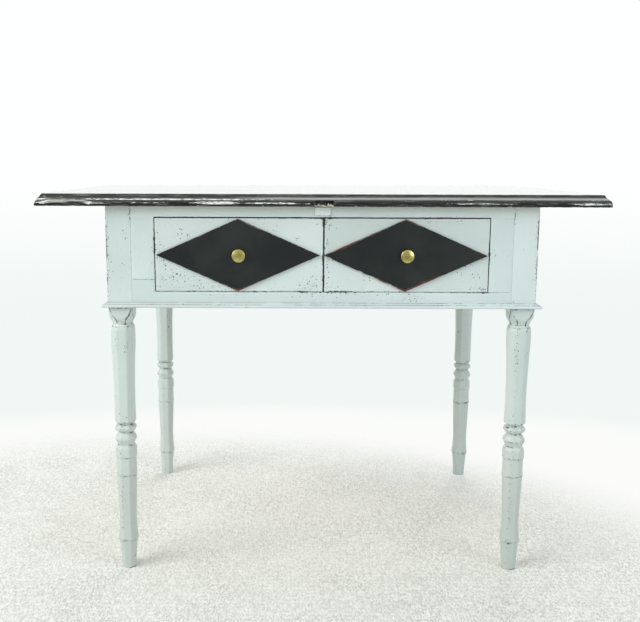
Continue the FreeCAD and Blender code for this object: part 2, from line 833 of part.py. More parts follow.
for strip_name, strip_edges in STRIPS.items():
    strip(f"runner_{strip_name}", strip_edges, runner_span)
    kicker = strip(f"kicker_{strip_name}", strip_edges, kicker_span)
    for x, y in screw_spots:
        if strip_edges[0].value < x.value < strip_edges[1].value:
            hole(kicker, f"{kicker.Label}_screw_hole", (x, y, screw_start_z), "+Z", screw_hole_radius,
                 S.screw_length)
            hole(kicker, f"{kicker.Label}_screw_recess", (x, y, screw_start_z), "+Z",
                 S.screw_head_radius + S.pin_clearance, S.screw_head_thickness + S.pin_clearance)

group("top_screws", [
    headed_pin("top_screw", (x, y, screw_start_z), "+Z", S.screw_radius, S.screw_length,
               S.screw_head_radius, S.screw_head_thickness)
    for x, y in screw_spots])

for guide_name, end_side in (("left", -1), ("right", 1)):
    guide = new_body(f"guide_{guide_name}")
    block(guide, "Additive", f"guide_{guide_name}_board",
          (end_side * opening_half, S.stile_thickness - half_depth, opening_floor),
          (end_side * (opening_half + S.guide_width), apron_inner_y, opening_floor + S.guide_height))

divider_front_y = S.front_lap + S.divider_gap - half_depth
divider = new_body("drawer_divider")
block(divider, "Additive", "drawer_divider_board", (divider_x[0], divider_front_y, opening_floor),
      (divider_x[1], strip_back_y, opening_ceiling))

blocks = []
for end_side in (-1, 1):
    for offset in spread(GLUE_BLOCKS_PER_SIDE, S.glue_block_pitch):
        glued = doc.addObject("Part::Box", "side_glue_block")
        bind(glued, "Length", S.glue_block_width)
        bind(glued, "Width", S.glue_block_length)
        bind(glued, "Height", S.glue_block_width)
        corner_x = apron_inner_x - S.glue_block_width if end_side > 0 else -apron_inner_x
        for axis, size in zip("xyz", (corner_x, offset - S.glue_block_length / 2,
                                      top_under - S.glue_block_width)):
            bind(glued, f".Placement.Base.{axis}", size)
        blocks.append(glued)
for offset in spread(2, 2 * S.glue_block_pitch):
    glued = doc.addObject("Part::Box", "back_glue_block")
    bind(glued, "Length", S.glue_block_length)
    bind(glued, "Width", S.glue_block_width)
    bind(glued, "Height", S.glue_block_width)
    for axis, size in zip("xyz", (offset - S.glue_block_length / 2, apron_inner_y - S.glue_block_width,
                                  top_under - S.glue_block_width)):
        bind(glued, f".Placement.Base.{axis}", size)
    blocks.append(glued)
group("glue_blocks", blocks)


# ---------------------------------------------------------------- drawers

class Drawer:
    """Where one drawer's edges are; side is -1 for the left drawer and 1 for the right one."""

    def __init__(self, side):
        self.side = side
        self.outer = side * (opening_half - S.side_gap)
        self.inner = S.drawer_split + side * (S.split_gap / 2)
        self.box_inner = S.drawer_split + side * (S.divider_thickness / 2 + S.divider_gap)
        self.center = middle(self.outer, self.inner)
        # X edges of the two side boards, from the drawer's outside to its inside
        self.boards = {
            "outer": (self.outer, self.outer - side * S.side_thickness),
            "inner": (self.box_inner, self.box_inner + side * S.side_thickness),
        }


front_z = (opening_floor + S.bottom_gap, opening_ceiling - S.top_gap)
front_y = (-half_depth, S.front_thickness - half_depth)
lap_y = S.front_lap - half_depth
drawer_back_y = apron_inner_y - S.drawer_back_space
board_z = (opening_floor + S.running_gap, opening_ceiling - S.side_top_gap)
panel_z = (board_z[0] + S.panel_lift, board_z[0] + S.panel_lift + S.panel_thickness)
panel_y = (front_y[1] - S.groove_depth, drawer_back_y)
back_board_y = (drawer_back_y - S.back_inset - S.back_thickness, drawer_back_y - S.back_inset)
knob_z = middle(*front_z)


def tail_outlines():
    """The dovetails of a side board, as outlines in the plane of the board."""
    pitch = (board_z[1] - board_z[0]) / DRAWER_TAILS
    outlines = []
    for number in range(DRAWER_TAILS):
        mid = board_z[0] + pitch * (number + 0.5)
        root, tip = S.tail_width / 2, S.tail_width / 2 + S.tail_flare
        outlines.append([(front_y[1], mid - root), (lap_y, mid - tip), (lap_y, mid + tip),
                         (front_y[1], mid + root)])
    return outlines


def drawer_front(name, drawer):
    """The front board, with sockets for the side boards' dovetails and a lap over the divider."""
    label = f"{name}_front"
    body = new_body(label)
    block(body, "Additive", f"{label}_board", (drawer.outer, front_y[0], front_z[0]),
          (drawer.inner, front_y[1], front_z[1]))
    block(body, "Subtractive", f"{label}_rebate", (drawer.box_inner, lap_y, front_z[0]),
          (drawer.inner, front_y[1], front_z[1]))
    for edge_one, edge_other in drawer.boards.values():
        low, high = sorted((edge_one, edge_other), key=lambda size: size.value)
        for number, steps in enumerate(tail_outlines()):
            prism(body, "Pocket", f"{label}_socket_{number}", "YZ", steps, low, high)
    block(body, "Subtractive", f"{label}_groove",
          (drawer.boards["outer"][1] + drawer.side * S.groove_depth, panel_y[0], panel_z[0]),
          (drawer.boards["inner"][1] - drawer.side * S.groove_depth, front_y[1], panel_z[1]))
    hole(body, f"{label}_stem_hole", (drawer.center, front_y[0], knob_z), "+Y",
         S.stem_radius + S.pin_clearance, S.front_thickness)


def drawer_side(name, drawer, which):
    """A side board, with dovetails, a groove for the bottom and a housing for the back."""
    label = f"{name}_side_{which}"
    body = new_body(label)
    outer, inner = drawer.boards[which]
    depth_sign = -drawer.side if which == "outer" else drawer.side
    block(body, "Additive", f"{label}_board", (outer, front_y[1], board_z[0]),
          (inner, drawer_back_y, board_z[1]))
    low, high = sorted((outer, inner), key=lambda size: size.value)
    for number, steps in enumerate(tail_outlines()):
        prism(body, "Pad", f"{label}_tail_{number}", "YZ", steps, low, high)
    block(body, "Subtractive", f"{label}_groove",
          (inner, lap_y, panel_z[0]), (inner - depth_sign * S.groove_depth, drawer_back_y, panel_z[1]))
    block(body, "Subtractive", f"{label}_housing",
          (inner, back_board_y[0], panel_z[1]),
          (inner - depth_sign * S.back_housing, back_board_y[1], board_z[1] - S.back_drop))


def drawer_back(name, drawer):
    """The back board, which stands on the bottom panel between the side boards."""
    label = f"{name}_back"
    body = new_body(label)
    block(body, "Additive", f"{label}_board",
          (drawer.boards["outer"][1] + drawer.side * S.back_housing, back_board_y[0], panel_z[1]),
          (drawer.boards["inner"][1] - drawer.side * S.back_housing, back_board_y[1],
           board_z[1] - S.back_drop))
    return body


def drawer_panel(name, drawer):
    """The bottom panel, slid into its grooves from behind."""
    label = f"{name}_bottom"
    body = new_body(label)
    block(body, "Additive", f"{label}_board",
          (drawer.boards["outer"][1] + drawer.side * S.groove_depth, panel_y[0], panel_z[0]),
          (drawer.boards["inner"][1] - drawer.side * S.groove_depth, panel_y[1], panel_z[1]))
    return body


def drawer_nails(name, drawer, holed):
    """Nails up through the bottom panel into the back board."""
    nails = []
    for offset in spread(DRAWER_NAILS, S.nail_pitch):
        spot = (drawer.center + offset, middle(*back_board_y), panel_z[0] - S.nail_head_thickness)
        nails.append(headed_pin(f"{name}_nail", spot, "+Z", S.nail_radius, S.nail_length,
                                S.nail_head_radius, S.nail_head_thickness))
        for body in holed:
            hole(body, f"{body.Label}_nail_hole", spot, "+Z", S.nail_radius + S.pin_clearance,
                 S.nail_length + S.pin_clearance)
    group(f"{name}_nails", nails)


def lozenge(name, drawer):
    """The raised lozenge on the front, with its front edges bevelled."""
    label = f"{name}_lozenge"
    body = new_body(label, at=(drawer.center - S.lozenge_shift, 0, knob_z))
    wide, tall = S.lozenge_width / 2, S.lozenge_height / 2
    prism(body, "Pad", f"{label}_plate", "XZ", [(-wide, 0), (0, tall), (wide, 0), (0, -tall)],
          lozenge_front_y, -half_depth)
    doc.recompute()
    plate = body.Tip
    front_edges = [f"Edge{number}" for number, edge in enumerate(plate.Shape.Edges, start=1)
                   if edge.BoundBox.YMax < lozenge_front_y.value + 0.01]
    bevel = body.newObject("PartDesign::Chamfer", f"{label}_bevel")
    bevel.Base = (plate, front_edges)
    bind(bevel, "Size", S.lozenge_bevel)
    hole(body, f"{label}_stem_hole", (S.lozenge_shift, lozenge_front_y, 0), "+Y",
         S.stem_radius + S.pin_clearance, S.lozenge_thickness)


def turned(label, at, steps):
    """A piece turned about its Y axis from a half outline in the XY plane, at a point."""
    body = new_body(label, at=at)
    sketch = closed_sketch(body, f"{label}_outline", "XY_Plane", steps)
    feature = body.newObject("PartDesign::Revolution", f"{label}_turning")
    feature.Profile = sketch
    feature.ReferenceAxis = (origin_feature(body, "Y_Axis"), [""])
    feature.Angle = 360


def knob(name, drawer):
    """A brass knob with a dished face, and its stem through the front, washer and nut."""
    at = (drawer.center, lozenge_front_y, knob_z)
    face = -S.knob_reach
    rim = S.knob_radius - S.knob_edge / 2
    edge_back = face + S.knob_edge
    cove_back = edge_back + S.knob_edge
    washer_y = S.lozenge_thickness + S.front_thickness
    nut_y = washer_y + S.washer_thickness
    stem_end = nut_y + S.nut_thickness + S.stem_tail
    turned(f"{name}_knob", at, [
        (0, face + S.knob_dish),
        (rim - 2 * S.knob_dish, face + S.knob_dish),
        (rim, face),
        (S.knob_radius, face + S.knob_edge / 2, rim, edge_back),
        (S.neck_radius + S.knob_dish, middle(edge_back, cove_back), S.neck_radius, cove_back),
        (S.neck_radius, -2 * S.knob_base_thickness),
        (S.knob_base_radius, -S.knob_base_thickness),
        (S.knob_base_radius, 0),
        (S.stem_radius, 0),
        (S.stem_radius, stem_end),
        (0, stem_end),
    ])
    bore = S.stem_radius + S.pin_clearance
    turned(f"{name}_washer", at, [(bore, washer_y), (S.washer_radius, washer_y), (S.washer_radius, nut_y),
                                  (bore, nut_y)])
    nut = new_body(f"{name}_nut", at=at)
    nut_half = S.nut_width / 2
    block(nut, "Additive", f"{name}_nut_block", (-nut_half, nut_y, -nut_half),
          (nut_half, nut_y + S.nut_thickness, nut_half))
    hole(nut, f"{name}_nut_bore", (0, nut_y, 0), "+Y", bore, S.nut_thickness)


drawers = {"drawer_left": Drawer(-1), "drawer_right": Drawer(1)}
for drawer_name, one_drawer in drawers.items():
    drawer_front(drawer_name, one_drawer)
    drawer_side(drawer_name, one_drawer, "outer")
    drawer_side(drawer_name, one_drawer, "inner")
    nailed = [drawer_back(drawer_name, one_drawer), drawer_panel(drawer_name, one_drawer)]
    drawer_nails(drawer_name, one_drawer, nailed)
    lozenge(drawer_name, one_drawer)
    knob(drawer_name, one_drawer)

stops = []
for one_drawer in drawers.values():
    for offset in spread(2, S.lozenge_height):
        stop = doc.addObject("Part::Box", "drawer_stop")
        bind(stop, "Length", S.stop_width)
        bind(stop, "Width", S.stop_depth)
        bind(stop, "Height", S.stop_height)
        corner = (one_drawer.center + offset - S.stop_width / 2, front_y[1] + S.stop_clearance,
                  opening_floor)
        for axis, size in zip("xyz", corner):
            bind(stop, f".Placement.Base.{axis}", size)
        stops.append(stop)
group("drawer_stops", stops)


# ---------------------------------------------------------------- checks and files

doc.recompute()
NODE_TYPES = ("PartDesign::Body", "Part::Compound")
CUT_TYPES = ("PartDesign::Pocket", "PartDesign::SubtractiveBox", "PartDesign::SubtractiveCylinder")
SMALLEST_CUT = 0.5      # mm3

for item in doc.Objects:
    if "Invalid" in item.State or "Error" in item.State:
        raise RuntimeError(f"{item.Label} failed: {item.State}")
    if item.TypeId in CUT_TYPES and item.BaseFeature.Shape.Volume - item.Shape.Volume < SMALLEST_CUT:
        raise RuntimeError(f"{item.Label} cuts nothing")

nodes = [item for item in doc.Objects if item.TypeId in NODE_TYPES]
for node in nodes:
    if node.Shape.isNull() or not node.Shape.isValid():
        raise RuntimeError(f"{node.Label} has no valid shape")

os.makedirs("parts", exist_ok=True)
for node in nodes:
    node.Shape.exportStep(f"parts/{node.Label}.step")
print(f"wrote {len(nodes)} sub-parts")
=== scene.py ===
"""Looks of a painted kitchen table with two drawers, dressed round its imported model."""

import json
import math

import bmesh
import bpy
import numpy as np
from mathutils import Matrix, Vector, noise

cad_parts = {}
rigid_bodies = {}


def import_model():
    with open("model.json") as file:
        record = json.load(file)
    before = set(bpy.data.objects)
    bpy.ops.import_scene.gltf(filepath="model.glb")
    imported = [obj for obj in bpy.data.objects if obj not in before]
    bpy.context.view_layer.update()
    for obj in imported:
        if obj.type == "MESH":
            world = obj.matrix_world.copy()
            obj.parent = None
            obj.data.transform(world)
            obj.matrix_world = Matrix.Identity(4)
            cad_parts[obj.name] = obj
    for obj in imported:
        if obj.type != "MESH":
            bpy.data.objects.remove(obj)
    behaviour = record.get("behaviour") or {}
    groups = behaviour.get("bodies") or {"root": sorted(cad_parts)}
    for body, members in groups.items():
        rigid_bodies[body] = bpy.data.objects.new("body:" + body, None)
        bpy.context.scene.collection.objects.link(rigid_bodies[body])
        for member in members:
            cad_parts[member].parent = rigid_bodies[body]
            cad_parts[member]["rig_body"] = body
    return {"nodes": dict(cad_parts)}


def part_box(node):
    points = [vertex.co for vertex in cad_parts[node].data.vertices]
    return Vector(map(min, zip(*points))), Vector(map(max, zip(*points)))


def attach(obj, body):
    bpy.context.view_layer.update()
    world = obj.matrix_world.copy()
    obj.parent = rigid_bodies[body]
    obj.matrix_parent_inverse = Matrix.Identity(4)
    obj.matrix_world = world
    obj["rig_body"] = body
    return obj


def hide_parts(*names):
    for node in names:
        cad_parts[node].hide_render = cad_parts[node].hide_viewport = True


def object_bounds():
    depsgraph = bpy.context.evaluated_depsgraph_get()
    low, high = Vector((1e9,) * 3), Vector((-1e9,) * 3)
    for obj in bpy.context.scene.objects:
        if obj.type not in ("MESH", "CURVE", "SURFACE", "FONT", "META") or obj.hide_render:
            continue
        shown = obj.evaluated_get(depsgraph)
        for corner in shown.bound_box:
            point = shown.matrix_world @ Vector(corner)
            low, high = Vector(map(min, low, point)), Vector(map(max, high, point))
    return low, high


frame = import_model()
cad_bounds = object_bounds()

MM = 0.001
AXES = {"X": 0, "Y": 1, "Z": 2}
LEFT, RIGHT = Vector((-1, 0, 0)), Vector((1, 0, 0))
FRONT, BACK = Vector((0, -1, 0)), Vector((0, 1, 0))
DOWN, UP = Vector((0, 0, -1)), Vector((0, 0, 1))


def srgb(red, green, blue):
    """A colour given in 0 to 255 as shader values."""
    values = [channel / 255 for channel in (red, green, blue)]
    return tuple(v / 12.92 if v <= 0.04045 else ((v + 0.055) / 1.055) ** 2.4 for v in values) + (1.0,)


# ---------------------------------------------------------------- shader helpers

class Graph:
    """A shader's node tree, with short ways to add nodes and join them."""

    def __init__(self, owner):
        owner.use_nodes = True
        self.owner = owner
        self.tree = owner.node_tree
        self.tree.nodes.clear()

    def add(self, kind, inputs=None, **settings):
        node = self.tree.nodes.new(f"ShaderNode{kind}")
        for key, value in settings.items():
            setattr(node, key, value)
        for key, value in (inputs or {}).items():
            if isinstance(value, bpy.types.NodeSocket):
                self.tree.links.new(value, node.inputs[key])
            else:
                node.inputs[key].default_value = value
        return node

    def calc(self, operation, *values):
        return self.add("Math", dict(enumerate(values)), operation=operation).outputs[0]

    def total(self, *values):
        result = values[0]
        for value in values[1:]:
            result = self.calc("ADD", result, value)
        return result

    def times(self, *values):
        result = values[0]
        for value in values[1:]:
            result = self.calc("MULTIPLY", result, value)
        return result

    def fade(self, value, low, high):
        """Rises smoothly from 0 to 1 as a value goes from low to high."""
        inputs = {"Value": value, "From Min": low, "From Max": high}
        return self.add("MapRange", inputs, interpolation_type="SMOOTHSTEP").outputs[0]

    def mix(self, factor, one, other):
        return self.add("Mix", {0: factor, 6: one, 7: other}, data_type="RGBA").outputs[2]

    def attribute(self, name):
        return self.add("Attribute", attribute_name=name).outputs["Fac"]

    def table_place(self):
        """Position on the table at rest, in metres."""
        return self.add("TexCoord").outputs["Object"]

    def axis(self, vector, name):
        return self.add("SeparateXYZ", {0: vector}).outputs[name]

    def place(self):
        """Position on the table, shifted by an amount of each piece's own."""
        shift = self.times(self.add("ObjectInfo").outputs["Random"], 7.0)
        return self.add("VectorMath", {0: self.table_place(), 1: shift}, operation="ADD").outputs[0]

    def drawn_out(self, vector, along, stretch):
        """A position that draws a pattern out along an axis."""
        factors = tuple(1 / stretch if axis == along else 1.0 for axis in AXES)
        return self.add("VectorMath", {0: vector, 1: factors}, operation="MULTIPLY").outputs[0]

    def noise(self, vector, scale, detail=2.0, roughness=0.5):
        inputs = {"Vector": vector, "Scale": scale, "Detail": detail, "Roughness": roughness}
        return self.add("TexNoise", inputs).outputs[0]

    def specks(self, vector, scale, radius, share):
        """Round spots of a radius, in metres, in a share of the cells of a random grid."""
        cells = self.add("TexVoronoi", {"Vector": vector, "Scale": scale})
        lot = self.add("SeparateColor", {0: cells.outputs["Color"]}).outputs[0]
        inside = self.fade(cells.outputs["Distance"], radius * scale, radius * scale * 0.45)
        return self.times(self.calc("LESS_THAN", lot, share), inside)

    def bump(self, height, distance):
        return self.add("Bump", {"Height": height, "Distance": distance, "Strength": 1.0}).outputs[0]

    def surface(self, **inputs):
        """Ends a material with a principled surface; an input's name has _ for each space."""
        named = {key.replace("_", " "): value for key, value in inputs.items()}
        self.add("OutputMaterial", {"Surface": self.add("BsdfPrincipled", named).outputs[0]})
        return self.owner


def material_graph(name):
    return Graph(bpy.data.materials.new(name))


# ---------------------------------------------------------------- materials

# The pale paint's darker and lighter shade on each group of pieces
PAINT_TONES = {
    "frame": (srgb(199, 212, 210), srgb(213, 225, 224)),
    "drawer": (srgb(195, 206, 203), srgb(212, 222, 220)),
    "leg": (srgb(192, 204, 199), srgb(206, 217, 213)),
}


def pale_paint(tone, along):
    """Pale grey-green satin paint, brushed along an axis, chipped on its arrises, and darkened in its grooves by
    grime and painted shade.
    """
    g = material_graph(f"{tone}_paint_{along.lower()}")
    here = g.place()
    arris, grime_and_shade, wear = g.attribute("arris"), g.attribute("grime_and_shade"), g.attribute("wear")
    knocks, rubbing = g.attribute("knocks"), g.attribute("rubbing")
    up = g.axis(g.table_place(), "Z")
    broad = g.noise(here, 4.0, 3)
    brush = g.noise(g.drawn_out(here, along, 14), 260, 3, 0.6)
    fine = g.noise(here, 420, 3, 0.6)
    patch = g.noise(here, 11, 3, 0.6)

    shade = g.fade(g.total(g.times(broad, 0.85), g.times(brush, 0.15)), 0.30, 0.70)
    paint = g.mix(shade, *PAINT_TONES[tone])
    if tone == "leg":
        on_post = g.fade(up, 0.530, 0.560)
        paint = g.mix(on_post, paint, g.mix(shade, *PAINT_TONES["frame"]))
    smudge = g.times(g.fade(g.noise(here, 30, 4, 0.7), 0.55, 0.80), 0.35)
    paint = g.mix(smudge, paint, srgb(188, 200, 192))
    # Greyer and darker towards the floor.
    darker_low = g.times(g.fade(up, 0.40, 0.10), g.total(0.20, g.times(broad, 0.25)))
    paint = g.mix(darker_low, paint, srgb(166, 170, 160))

    wobble = g.times(g.calc("SUBTRACT", fine, 0.5), 0.004)
    uneven = g.add("VectorMath", {0: here, 1: wobble}, operation="ADD").outputs[0]
    share = g.total(0.003, g.times(g.fade(patch, 0.52, 0.70), 0.012), wear, knocks)
    small = g.specks(uneven, 280, 1.5 * MM, share)
    tiny = g.specks(uneven, 420, 0.95 * MM, g.times(share, 0.7))
    large = g.specks(uneven, 110, 2.5 * MM, g.total(g.times(share, 0.16), g.times(knocks, 0.30)))
    speck = g.calc("MAXIMUM", g.calc("MAXIMUM", small, g.times(tiny, 0.7)), large)

    ragged = g.total(g.times(g.noise(here, 210, 4, 0.7), 0.55), g.times(patch, 0.40), g.times(wear, 0.18))
    reach = g.times(g.fade(ragged, 0.485, 0.66), 2.4 * MM)
    chip = g.fade(g.calc("SUBTRACT", reach, arris), 0.0, 0.35 * MM)
    worn_spots = g.total(g.noise(here, 45, 3), g.times(rubbing, 0.13))
    rubbed_reach = g.total(1.0 * MM, g.times(rubbing, 0.5 * MM))
    rubbed = g.times(g.fade(arris, rubbed_reach, 0.0), g.fade(worn_spots, 0.49, 0.66))
    crust_spread = g.total(g.noise(here, 75, 4, 0.7), g.times(grime_and_shade, 0.12))
    crust_and_shade = g.calc("MINIMUM", grime_and_shade, g.fade(crust_spread, 0.62, 0.72))
    bare = g.calc("MAXIMUM", speck, chip)

    dark = g.mix(g.fade(g.noise(here, 8, 2), 0.64, 0.74), srgb(40, 42, 40), srgb(88, 56, 42))
    pinkish = g.times(rubbing, g.fade(g.noise(here, 25, 2), 0.42, 0.58))
    dull = g.mix(pinkish, srgb(138, 138, 134), srgb(148, 118, 114))
    colour = g.mix(g.times(rubbed, g.total(0.50, g.times(rubbing, 0.25))), paint, dull)
    # Darker grey and olive in the legs' hollows, carved lines and seams: grime, and painted shade where shade
    # falls there, with a painted contact shadow at the foot.
    colour = g.mix(g.times(grime_and_shade, 0.10), colour, srgb(120, 126, 116))
    colour = g.mix(g.times(crust_and_shade, 0.92), colour, srgb(62, 60, 42))
    colour = g.mix(g.times(bare, 0.92), colour, dark)

    height = g.total(g.times(brush, 0.16), g.times(fine, 0.16), g.times(g.noise(here, 35, 2), 0.8))
    height = g.calc("SUBTRACT", height, g.times(bare, 0.9))
    roughness = g.total(0.38, g.times(g.calc("MAXIMUM", bare, crust_and_shade), 0.35))
    return g.surface(Base_Color=colour, Roughness=roughness, Normal=g.bump(height, 0.25 * MM))


# Heights over the top's underside: the ledge of its moulding, the middle of its nose, and the line of
# scuffs and painted glints along the nose
TOP_LEDGE = 13.3 * MM
NOSE_LINE = 9.0 * MM
SCUFF_AND_GLINT_LINE = 6.5 * MM


def black_paint(along):
    """Black gloss paint of the table's top, rubbed pale along the ledge and the nose of its moulding; these pale
    marks are partly painted highlights, and a painted sheen runs above the ledge.
    """
    g = material_graph("black_top_paint")
    here = g.place()
    arris, ledge, scuffs_and_glints = g.attribute("arris"), g.attribute("ledge"), g.attribute("scuffs_and_glints")
    across = g.axis(g.table_place(), "X")
    level = g.calc("SUBTRACT", g.axis(g.table_place(), "Z"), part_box("top_board_front")[0].z)
    streak = g.noise(g.drawn_out(here, along, 9), 120, 4, 0.65)
    fine = g.noise(here, 500, 3, 0.6)
    drawn = g.noise(g.drawn_out(here, along, 3), 270, 4, 0.75)
    patch = g.noise(g.drawn_out(here, along, 3), 14, 3, 0.6)
    thread = g.noise(g.drawn_out(here, along, 12), 230, 3, 0.65)
    colour = g.mix(g.fade(streak, 0.35, 0.75), srgb(9, 11, 11), srgb(25, 29, 28))
    rightward = g.fade(across, -0.20, -0.08)
    leftward = g.calc("SUBTRACT", 1.0, rightward)
    threads = g.times(g.fade(thread, 0.51, 0.64), g.fade(ledge, 15 * MM, 9 * MM))
    on_nose = g.times(leftward, g.fade(ledge, 2.5 * MM, 5.5 * MM))
    colour = g.mix(g.times(threads, g.total(0.44, g.times(on_nose, 0.36))), colour, srgb(106, 111, 107))

    # Painted highlight: a soft pale line a little above the ledge, strongest on the right, stands in for the sheen
    # of light on the rounded moulding.
    waver = g.calc("SUBTRACT", patch, 0.5)
    sheen_level = g.total(TOP_LEDGE, g.times(rightward, 1.9 * MM), g.times(waver, 3 * MM))
    from_sheen = g.calc("ABSOLUTE", g.calc("SUBTRACT", level, sheen_level))
    painted_sheen = g.times(g.fade(from_sheen, 3.4 * MM, 0.4 * MM), g.total(0.10, g.times(rightward, 0.54)),
                     g.total(0.7, g.times(streak, 0.5)), g.fade(ledge, 9 * MM, 6 * MM))
    colour = g.mix(painted_sheen, colour, srgb(196, 199, 195))

    # The ragged pale line along the ledge is worn paint and also a painted highlight of the light on the ledge's
    # arris.
    ragged = g.total(g.times(drawn, 0.6), g.times(patch, 0.3), g.times(leftward, 0.13))
    reach = g.times(g.fade(ragged, 0.46, 0.58), g.total(1.4 * MM, g.times(leftward, 0.3 * MM)))
    rubbed = g.fade(g.calc("SUBTRACT", reach, ledge), 0.0, 0.35 * MM)
    # Pale knocks along the nose: worn paint that also stands in as painted glints of light on the rounded nose.
    heavy = g.calc("MAXIMUM", g.calc("SUBTRACT", scuffs_and_glints, 1.45), 0.0)
    nose_level = g.total(SCUFF_AND_GLINT_LINE, g.times(heavy, 14 * MM), g.times(waver, 6 * MM))
    from_nose = g.calc("ABSOLUTE", g.calc("SUBTRACT", level, nose_level))
    band = g.total(1.6 * MM, g.times(g.calc("MAXIMUM", g.calc("SUBTRACT", scuffs_and_glints, 1.0), 0.0), 3.4 * MM))
    within = g.calc("SUBTRACT", 1.0, g.calc("MINIMUM", g.calc("DIVIDE", from_nose, band), 1.0))
    knocks = g.fade(g.total(g.times(drawn, 0.8), g.times(scuffs_and_glints, 0.26), g.times(within, 0.22)), 0.70, 0.81)
    knocks = g.times(knocks, g.fade(within, 0.0, 0.35))
    greyed = g.fade(scuffs_and_glints, 1.4, 1.7)
    speck = g.specks(g.drawn_out(here, along, 4), 240, 0.8 * MM,
                     g.total(0.002, g.times(g.fade(ledge, 14 * MM, 9 * MM), g.fade(patch, 0.42, 0.60), 0.2)))
    nick = g.times(g.fade(arris, 0.6 * MM, 0.0), g.fade(g.noise(here, 160, 3, 0.7), 0.60, 0.70))
    worn = g.calc("MAXIMUM", g.calc("MAXIMUM", rubbed, knocks), g.calc("MAXIMUM", speck, nick))
    # The near-white colour of the worn marks: undercoat that also serves as the painted highlights and glints on
    # the ledge and the nose.
    flecked = g.fade(g.noise(g.drawn_out(here, along, 3), 260, 3, 0.7), 0.40, 0.56)
    pale = g.mix(flecked, srgb(138, 140, 134), srgb(252, 254, 248))
    pale = g.mix(greyed, pale, g.mix(g.fade(thread, 0.42, 0.60), srgb(34, 36, 34), srgb(172, 174, 168)))
    colour = g.mix(g.times(worn, 0.9), colour, pale)

    height = g.total(g.times(streak, 0.35), g.times(fine, 0.06))
    height = g.calc("SUBTRACT", height, g.times(worn, 0.6))
    roughness = g.total(0.09, g.times(g.noise(here, 24, 3), 0.10), g.times(worn, 0.35))
    return g.surface(Base_Color=colour, Roughness=roughness, Normal=g.bump(height, 0.22 * MM),
                     Specular_IOR_Level=0.2, Coat_Weight=0.94, Coat_Roughness=0.05)


def splintered_wood():
    """Broken wood inside the notch: pale torn fibres low down, dark above them."""
    g = material_graph("splintered_wood")
    here = g.place()
    torn = g.noise(g.drawn_out(here, "Z", 3), 300, 4, 0.75)
    teeth = g.noise(g.drawn_out(here, "Z", 4), 150, 2, 0.6)
    level = g.calc("SUBTRACT", g.axis(g.table_place(), "Z"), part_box("top_board_front")[0].z)
    ragged = g.total(level, g.times(g.calc("SUBTRACT", teeth, 0.5), 22 * MM))
    colour = g.mix(g.fade(torn, 0.40, 0.62), srgb(200, 194, 180), srgb(252, 250, 242))
    dark = g.mix(g.fade(torn, 0.50, 0.70), srgb(20, 20, 18), srgb(104, 96, 84))
    colour = g.mix(g.fade(ragged, 3.0 * MM, 3.8 * MM), colour, dark)
    return g.surface(Base_Color=colour, Roughness=0.7, Normal=g.bump(torn, 1.2 * MM))


def lozenge_paint():
    """Black satin paint, rubbed grey round its edge and down to red-brown where it is most worn."""
    g = material_graph("lozenge_black")
    here = g.place()
    arris, below, browned = g.attribute("arris"), g.attribute("below"), g.attribute("browned")
    broad = g.noise(here, 9, 4, 0.6)
    fine = g.noise(here, 380, 3, 0.6)
    colour = g.mix(g.fade(broad, 0.35, 0.70), srgb(23, 28, 28), srgb(38, 43, 41))
    scuff = g.specks(here, 45, 1.6 * MM, 0.06)
    colour = g.mix(g.times(scuff, 0.22), colour, srgb(96, 98, 98))

    ragged = g.total(g.times(g.noise(here, 110, 4, 0.7), 0.6), g.times(broad, 0.35))
    reach = g.total(g.times(g.fade(ragged, 0.42, 0.62), 0.7 * MM), g.times(browned, ragged, 6.5 * MM))
    worn = g.fade(g.calc("SUBTRACT", reach, arris), 0.0, 0.5 * MM)
    brown = g.mix(g.fade(fine, 0.40, 0.62), srgb(70, 34, 30), srgb(116, 62, 46))
    rim = g.mix(g.fade(g.noise(here, 60, 3), 0.40, 0.62), srgb(92, 84, 80), srgb(132, 112, 104))
    rim = g.mix(g.times(below, g.fade(g.noise(here, 40, 4, 0.7), 0.36, 0.52)), rim, srgb(198, 200, 190))
    rim = g.mix(g.fade(browned, 0.15, 0.5), rim, brown)
    colour = g.mix(g.times(worn, 0.9), colour, rim)

    height = g.total(g.times(fine, 0.2), g.times(g.noise(here, 60, 3), 0.5))
    height = g.calc("SUBTRACT", height, g.times(worn, 0.6))
    roughness = g.total(0.36, g.times(worn, 0.3))
    return g.surface(Base_Color=colour, Roughness=roughness, Specular_IOR_Level=0.4,
                     Normal=g.bump(height, 0.2 * MM))


def strap_paint():
    """Pale paint on iron: brown where it is rubbed at the bend, flaking white above it."""
    g = material_graph("strap_paint")
    here = g.place()
    arris = g.attribute("arris")
    up = g.axis(g.table_place(), "Z")
    flake = g.noise(here, 260, 4, 0.7)
    level = g.total(up, g.times(g.calc("SUBTRACT", flake, 0.5), 5 * MM))
    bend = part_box("rail_top")[1].z
    paint = g.mix(g.noise(here, 30, 3), srgb(214, 223, 221), srgb(230, 237, 235))
    over_bend = g.fade(level, bend - 3.5 * MM, bend - 1.5 * MM)
    rubbed = g.times(over_bend, g.fade(level, bend + 3.5 * MM, bend + 1 * MM))
    rust = g.mix(g.fade(flake, 0.40, 0.60), srgb(92, 84, 54), srgb(168, 160, 122))
    colour = g.mix(g.times(rubbed, 0.85), paint, rust)
    chip = g.fade(g.calc("SUBTRACT", g.times(g.fade(flake, 0.50, 0.64), 2.2 * MM), arris), 0.0, 0.3 * MM)
    colour = g.mix(g.times(chip, 0.8), colour, srgb(84, 78, 66))
    height = g.calc("SUBTRACT", g.times(flake, 0.8), chip)
    return g.surface(Base_Color=colour, Roughness=0.5, Normal=g.bump(height, 0.3 * MM))


